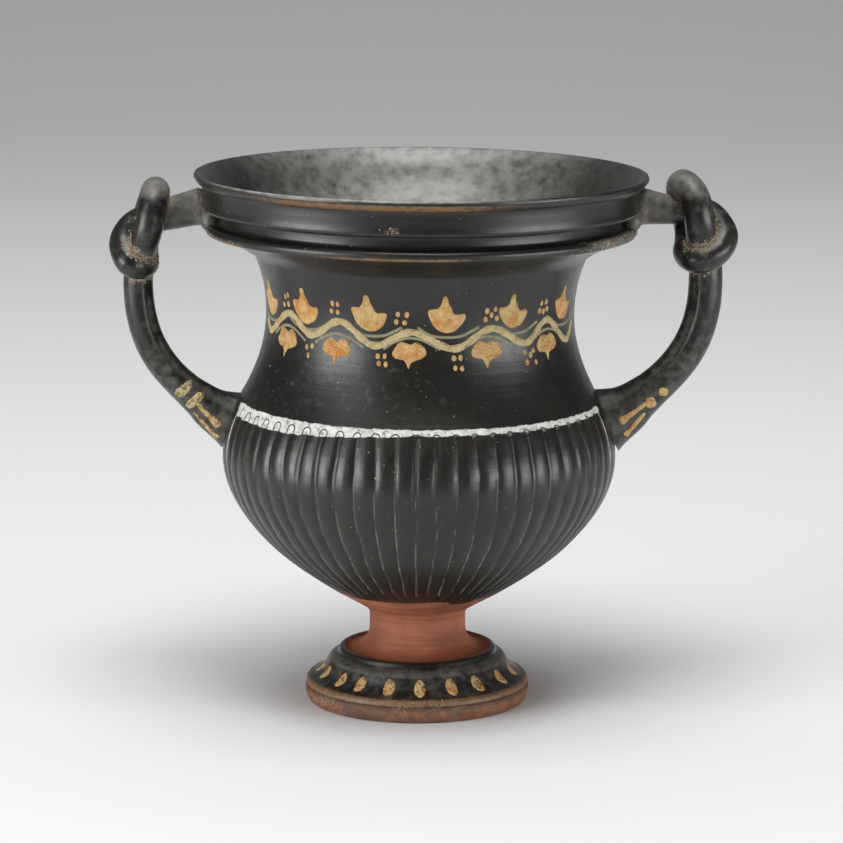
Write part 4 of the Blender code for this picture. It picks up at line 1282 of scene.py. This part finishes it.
# %% Clay and slip coats
def clay_coat(tree, spot):
    """Return the coat of bare fired clay: terracotta with wheel streaks and pale flecks."""
    flat = add_node(tree, "ShaderNodeMapping", {"Vector": spot, "Scale": (0.15, 0.15, 2.6)})
    known = {
        "streaks": patchy(tree, flat, 4.0, 0.38, 0.62, 1.0),
        "broad": patchy(tree, spot, 18.0, 0.35, 0.65, 2.0),
        "grain": patchy(tree, spot, 0.7, 0.3, 0.7, 3.0),
    }
    follow(tree, known, (
        ("streaked", "Mix", "RGBA", {0: "streaks", 6: linear("#8F5035"), 7: linear("#BE7A56")}),
        ("colour", "Mix", "RGBA", {0: "broad", 6: "streaked", 7: linear("#804932")}),
        ("relief", "Math", "MULTIPLY", "grain", 0.05),
    ))
    flecks = patchy(tree, spot, 1.1, 0.69, 0.73, 4.0, detail=2.0)
    return lay(tree, coat(known["colour"], 0.72, known["relief"]), coat("#C49673", 0.8, 0.05), flecks)


def slip_coat(tree, spot):
    """Return the coat of black slip: near black, uneven in sheen, brown where it is thin."""
    known = {
        "cloud": patchy(tree, spot, 22.0, 0.35, 0.68, 11.0),
        "fine": patchy(tree, spot, 2.2, 0.3, 0.7, 12.0),
        "grain": patchy(tree, spot, 0.45, 0.25, 0.75, 13.0),
        "thin": patchy(tree, spot, 9.0, 0.60, 0.74, 14.0),
        **read_fields(tree, "height"),
    }
    follow(tree, known, (
        ("rings", "TexNoise", {"noise_dimensions": "1D"}, {"W": "height", "Scale": 0.4, "Detail": 2.0}),
        ("black", "Mix", "RGBA", {0: "cloud", 6: linear("#161614"), 7: linear("#22211D")}),
        ("brown", "Math", "MULTIPLY", "thin", 0.45),
        ("colour", "Mix", "RGBA", {0: "brown", 6: "black", 7: linear("#3A2C20")}),
        ("rough", "MapRange", "LINEAR", "fine", 0.0, 1.0, 0.27, 0.38),
        ("marks", "Math", "MULTIPLY", "rings", 0.045),
        ("relief", "Math", "MULTIPLY_ADD", "grain", 0.018, "marks"),
    ))
    return coat(known["colour"], known["rough"], known["relief"])


# %% The pot's finish, from the clay up
def build_pot_finish(material):
    """Build the coats of the pot: clay, black slip, white band, pale groove lines, wear, stain, dust, and
    the painted sheen and shade among them.
    """
    tree, spot = open_tree(material)
    known = read_fields(
        tree, "bare", "white", "wear", "dust", "stain", "film", "groove", "height", "panel")
    known.update({
        "broken": patchy(tree, spot, 3.5, 0.34, 0.62, 22.0),
        "flaky": ragged(tree, known["white"], spot, 2.6, 0.30, 0.10, 23.0),
        "rubbed": patchy(tree, spot, 1.6, 0.33, 0.47, 25.0),
        "patches": patchy(tree, spot, 2.0, 0.36, 0.46, 26.0),
        "cloudy": patchy(tree, spot, 4.0, 0.22, 0.58, 34.0, detail=6.0),
        "chalky": patchy(tree, spot, 1.8, 0.3, 0.6, 24.0),
    })
    follow(tree, known, (
        # A thin pale line runs along the bottom of each gouged groove, stronger lower down.
        ("in groove", "MapRange", "LINEAR", "groove", 0.30, 0.12),
        ("lower down", "MapRange", "LINEAR", "height", 90.0, 60.0, 0.10, 0.7),
        ("broken line", "Math", "MULTIPLY", "in groove", "broken"),
        ("silted", "Math", "MULTIPLY", "broken line", "lower down"),
        # The white band flakes, and each groove's round top shows as a dark arc through it.
        ("from arc", "Math", "SUBTRACT", "groove", 1.25),
        ("off arc", "Math", "ABSOLUTE", "from arc"),
        ("keep", "MapRange", "LINEAR", "off arc", 0.10, 0.24),
        ("left over", "MapRange", "LINEAR", "rubbed", 0.0, 1.0, 0.35, 1.0),
        ("kept", "Math", "MULTIPLY", "left over", "keep"),
        ("band", "Math", "MULTIPLY", "flaky", "kept"),
        # A thin white line also runs down each side of the panel.
        ("from line", "Math", "ADD", "panel", 0.2),
        ("off line", "Math", "ABSOLUTE", "from line"),
        ("on line", "MapRange", "LINEAR", "off line", 0.65, 0.40),
        ("above foot", "MapRange", "LINEAR", "height", 64.0, 82.0),
        ("below band", "MapRange", "LINEAR", "height", 90.4, 90.0),
        ("fading", "Math", "MULTIPLY", "on line", "above foot"),
        ("ending", "Math", "MULTIPLY", "fading", "below band"),
        ("side line", "Math", "MULTIPLY", "ending", "patches"),
        ("chalked", "Math", "MAXIMUM", "band", "side line"),
        ("chalk", "Mix", "RGBA", {0: "chalky", 6: linear("#B4B4AF"), 7: linear("#DDDDD9")}),
        # A thin pale film lies inside in soft broad patches: dried wine stone and dust all round, a painted
        # sheen on the far wall, and a painted highlight along the lip.
        ("filmed", "Math", "MULTIPLY", "cloudy", "film"),
        ("thin film", "Math", "MULTIPLY", "filmed", 0.60),
    ))
    coats = lay(tree, slip_coat(tree, spot), clay_coat(tree, spot),
                ragged(tree, known["bare"], spot, 2.5, 0.4, 0.12, 21.0))
    for over, share in (
        (coat("#8C8A80", 0.8, 0.0), known["silted"]),
        (coat(known["chalk"], 0.8, 0.12), known["chalked"]),
        (coat("#B9B9B4", 0.46, 0.01), known["thin film"]),
    ):
        coats = lay(tree, coats, over, share)
    # Stain and painted shade, wear and painted highlight, and dust and painted sheen are strengths, so
    # noise decides where they break through.
    for name, size, soft, most, colour, roughness, seed in (
        ("stain", 3.4, 0.45, 0.80, "#4C3B30", 0.60, 30.0),
        ("wear", 1.6, 0.40, 0.80, "#86623F", 0.55, 31.0),
        ("dust", 2.4, 1.0, 0.85, "#96938A", 0.62, 32.0),
    ):
        known["noise"] = patchy(tree, spot, size, 0.15, 0.85, seed)
        follow(tree, known, (
            ("spread", "Math", "MULTIPLY", "noise", 0.8),
            ("total", "Math", "ADD", name, "spread"),
            ("share", "MapRange", "LINEAR", "total", 0.8, 0.8 + soft, 0.0, most),
        ))
        coats = lay(tree, coats, coat(colour, roughness, 0.02), known["share"])
    # Small pale specks are everywhere on the old slip.
    specks = patchy(tree, spot, 1.1, 0.72, 0.745, 33.0, detail=2.0)
    finish_with(tree, lay(tree, coats, coat("#9A9280", 0.8, 0.05), specks))


build_pot_finish(finishes["black_slip"])
build_pot_finish(finishes["red_clay"])

# %% Painted slip, crust and sweep
tree, spot = open_tree(finishes["cream_slip"])
known = {
    **read_fields(tree, "tone", "rub"),
    "thin": patchy(tree, spot, 1.2, 0.25, 0.75, 44.0),
    "milky": patchy(tree, spot, 1.8, 0.3, 0.7, 41.0),
    "orange": patchy(tree, spot, 2.8, 0.38, 0.62, 42.0),
}
follow(tree, known, (
    ("greyer", "MapRange", "LINEAR", "tone", 0.0, -0.3),
    ("total", "Math", "ADD", "thin", "rub"),
    ("loss", "MapRange", "LINEAR", "total", 0.95, 1.15, 0.0, 0.85),
    ("cream", "Mix", "RGBA", {0: "milky", 6: linear("#C4B078"), 7: linear("#E6D8A8")}),
    ("ochre", "Mix", "RGBA", {0: "orange", 6: linear("#D98F3C"), 7: linear("#EFC98A")}),
    ("painted", "Mix", "RGBA", {0: "tone", 6: "cream", 7: "ochre"}),
    ("colour", "Mix", "RGBA", {0: "greyer", 6: "painted", 7: linear("#A6A283")}),
))
paint = coat(known["colour"], 0.62, patchy(tree, spot, 0.8, 0.2, 0.8, 43.0))
finish_with(tree, lay(tree, paint, coat("#4A3B28", 0.5, 0.0), known["loss"]))

tree, spot = open_tree(finishes["buff_crust"])
known = {"share": patchy(tree, spot, 1.5, 0.35, 0.65, 51.0)}
follow(tree, known, (
    ("colour", "Mix", "RGBA", {0: "share", 6: linear("#B09A7C"), 7: linear("#E2D3BA")}),
))
finish_with(tree, coat(known["colour"], 0.9, patchy(tree, spot, 0.3, 0.2, 0.8, 52.0)))

# The paper's colour carries painted shade, grading it from pale in front to grey at the back.
tree, spot = open_tree(finishes["studio_sweep"])
known = read_fields(tree, "tint")
follow(tree, known, (
    ("paper", "Mix", "RGBA", {0: "tint", 6: linear("#000000"), 7: linear("#FFFFFF")}),
))
finish_with(tree, coat(known["paper"], 0.9, 0.0), specular=0.1)
print("Finishes built:", list(finishes))

# %% [markdown]
# ## The studio
# The cup stands on a pale seamless sweep. Black gloss shows little of its own
# colour, so what the eye reads is mostly what it reflects: a low, wide soft
# box at each side, a weaker one higher on the left, the pale table below and
# the dark room between. A box overhead lights the rim and the table, and one
# behind it faces down onto the paper, whose colour also carries painted shade
# that grades it from pale in front to grey.

# %% Sweep
SWEEP_FLAT = 1.4
SWEEP_BEND = 1.0
SWEEP_FRONT = -0.6
SWEEP_TOP = 3.2
SWEEP_HALF_WIDTH = 1.1
# How much light the paper gives back, at points from front to back in metres; the fall towards the back is
# painted shade.
PAPER_SPOTS = (-0.2, 0.0, 0.2, 0.4, 0.8, 1.4, 2.4)
PAPER_SHADE_TINTS = (0.86, 0.82, 0.86, 0.88, 0.87, 0.83, 0.36)
sweep_line = [(y, 0.0) for y in np.arange(SWEEP_FRONT, SWEEP_FLAT + 0.05, 0.1)]
for angle in np.radians(np.arange(6, 91, 6)):
    sweep_line.append((SWEEP_FLAT + SWEEP_BEND * math.sin(angle), SWEEP_BEND * (1 - math.cos(angle))))
sweep_line.append((SWEEP_FLAT + SWEEP_BEND, SWEEP_TOP))
sweep_points = [(x, y, z) for y, z in sweep_line for x in (-SWEEP_HALF_WIDTH, SWEEP_HALF_WIDTH)]
sweep_faces = [(2 * i, 2 * i + 1, 2 * i + 3, 2 * i + 2) for i in range(len(sweep_line) - 1)]
tints = np.interp([point[1] for point in sweep_points], PAPER_SPOTS, PAPER_SHADE_TINTS)
backdrop = make_piece("studio_sweep", sweep_points, sweep_faces, {"tint": tints})
backdrop.data.materials.append(finishes["studio_sweep"])
print("The sweep has", len(sweep_faces), "faces")

# %% Lights
# Name, azimuth from the viewer's side, distance, height, width and depth in metres,
# power in watts, and the height on the cup's axis that it faces. The last faces down.
SOFT_BOXES = (
    ("left_box", -60, 1.2, 0.22, (0.7, 0.40), 9.0, 0.2),
    ("left_upper_box", -50, 1.2, 0.855, (0.65, 0.55), 2.0, 0.2),
    ("right_box", 60, 1.2, 0.14, (0.9, 0.24), 6.4, 0.2),
    ("top_box", 0, 0.35, 1.55, (0.9, 0.9), 19.0, 0.1),
    ("back_box", 180, 1.1, 2.25, (2.6, 0.9), 9.0, None),
)
for name, turn_degrees, distance, level, size, watts, aim in SOFT_BOXES:
    light = bpy.data.lights.new(name, "AREA")
    light.shape = "RECTANGLE"
    light.size, light.size_y = size
    light.energy = watts
    lamp = bpy.data.objects.new(name, light)
    bearing = math.radians(turn_degrees)
    lamp.location = (distance * math.sin(bearing), -distance * math.cos(bearing), level)
    if aim is not None:
        way = Vector((0, 0, aim)) - lamp.location
        lamp.rotation_euler = way.to_track_quat("-Z", "Y").to_euler()
    scene.collection.objects.link(lamp)

ROOM_COLOUR = "#7f7f7f"
ROOM_STRENGTH = 0.5
world = bpy.data.worlds.new("dim_room")
world.use_nodes = True
room = world.node_tree.nodes["Background"].inputs
room["Color"].default_value = linear(ROOM_COLOUR)
room["Strength"].default_value = ROOM_STRENGTH
scene.world = world
print("Lights:", [row[0] for row in SOFT_BOXES])

# %% Camera
CAMERA_DISTANCE = 1.0779
CAMERA_HEIGHT = 0.2881
CAMERA_PITCH = math.radians(10.774)
SENSOR_WIDTH = 36
LENS = 159.52
FAR_CLIP = 20
camera = bpy.data.objects.new("camera", bpy.data.cameras.new("camera"))
scene.collection.objects.link(camera)
camera.data.sensor_width = SENSOR_WIDTH
camera.data.lens = LENS
camera.data.clip_end = FAR_CLIP
camera.location = (0, -CAMERA_DISTANCE, CAMERA_HEIGHT)
camera.rotation_euler = (math.pi / 2 - CAMERA_PITCH, 0, 0)
scene.camera = camera
scene.view_settings.view_transform = "Standard"
print("The camera looks down by", round(math.degrees(CAMERA_PITCH), 1), "degrees")


# %% [markdown]
# ## Riding on the frame
# Each piece is tied to the body that it moves with, and the imported part is
# hidden.

# %% Tie every piece to the frame
for name, piece in pieces.items():
    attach(piece, "root")
    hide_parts("kantharos")
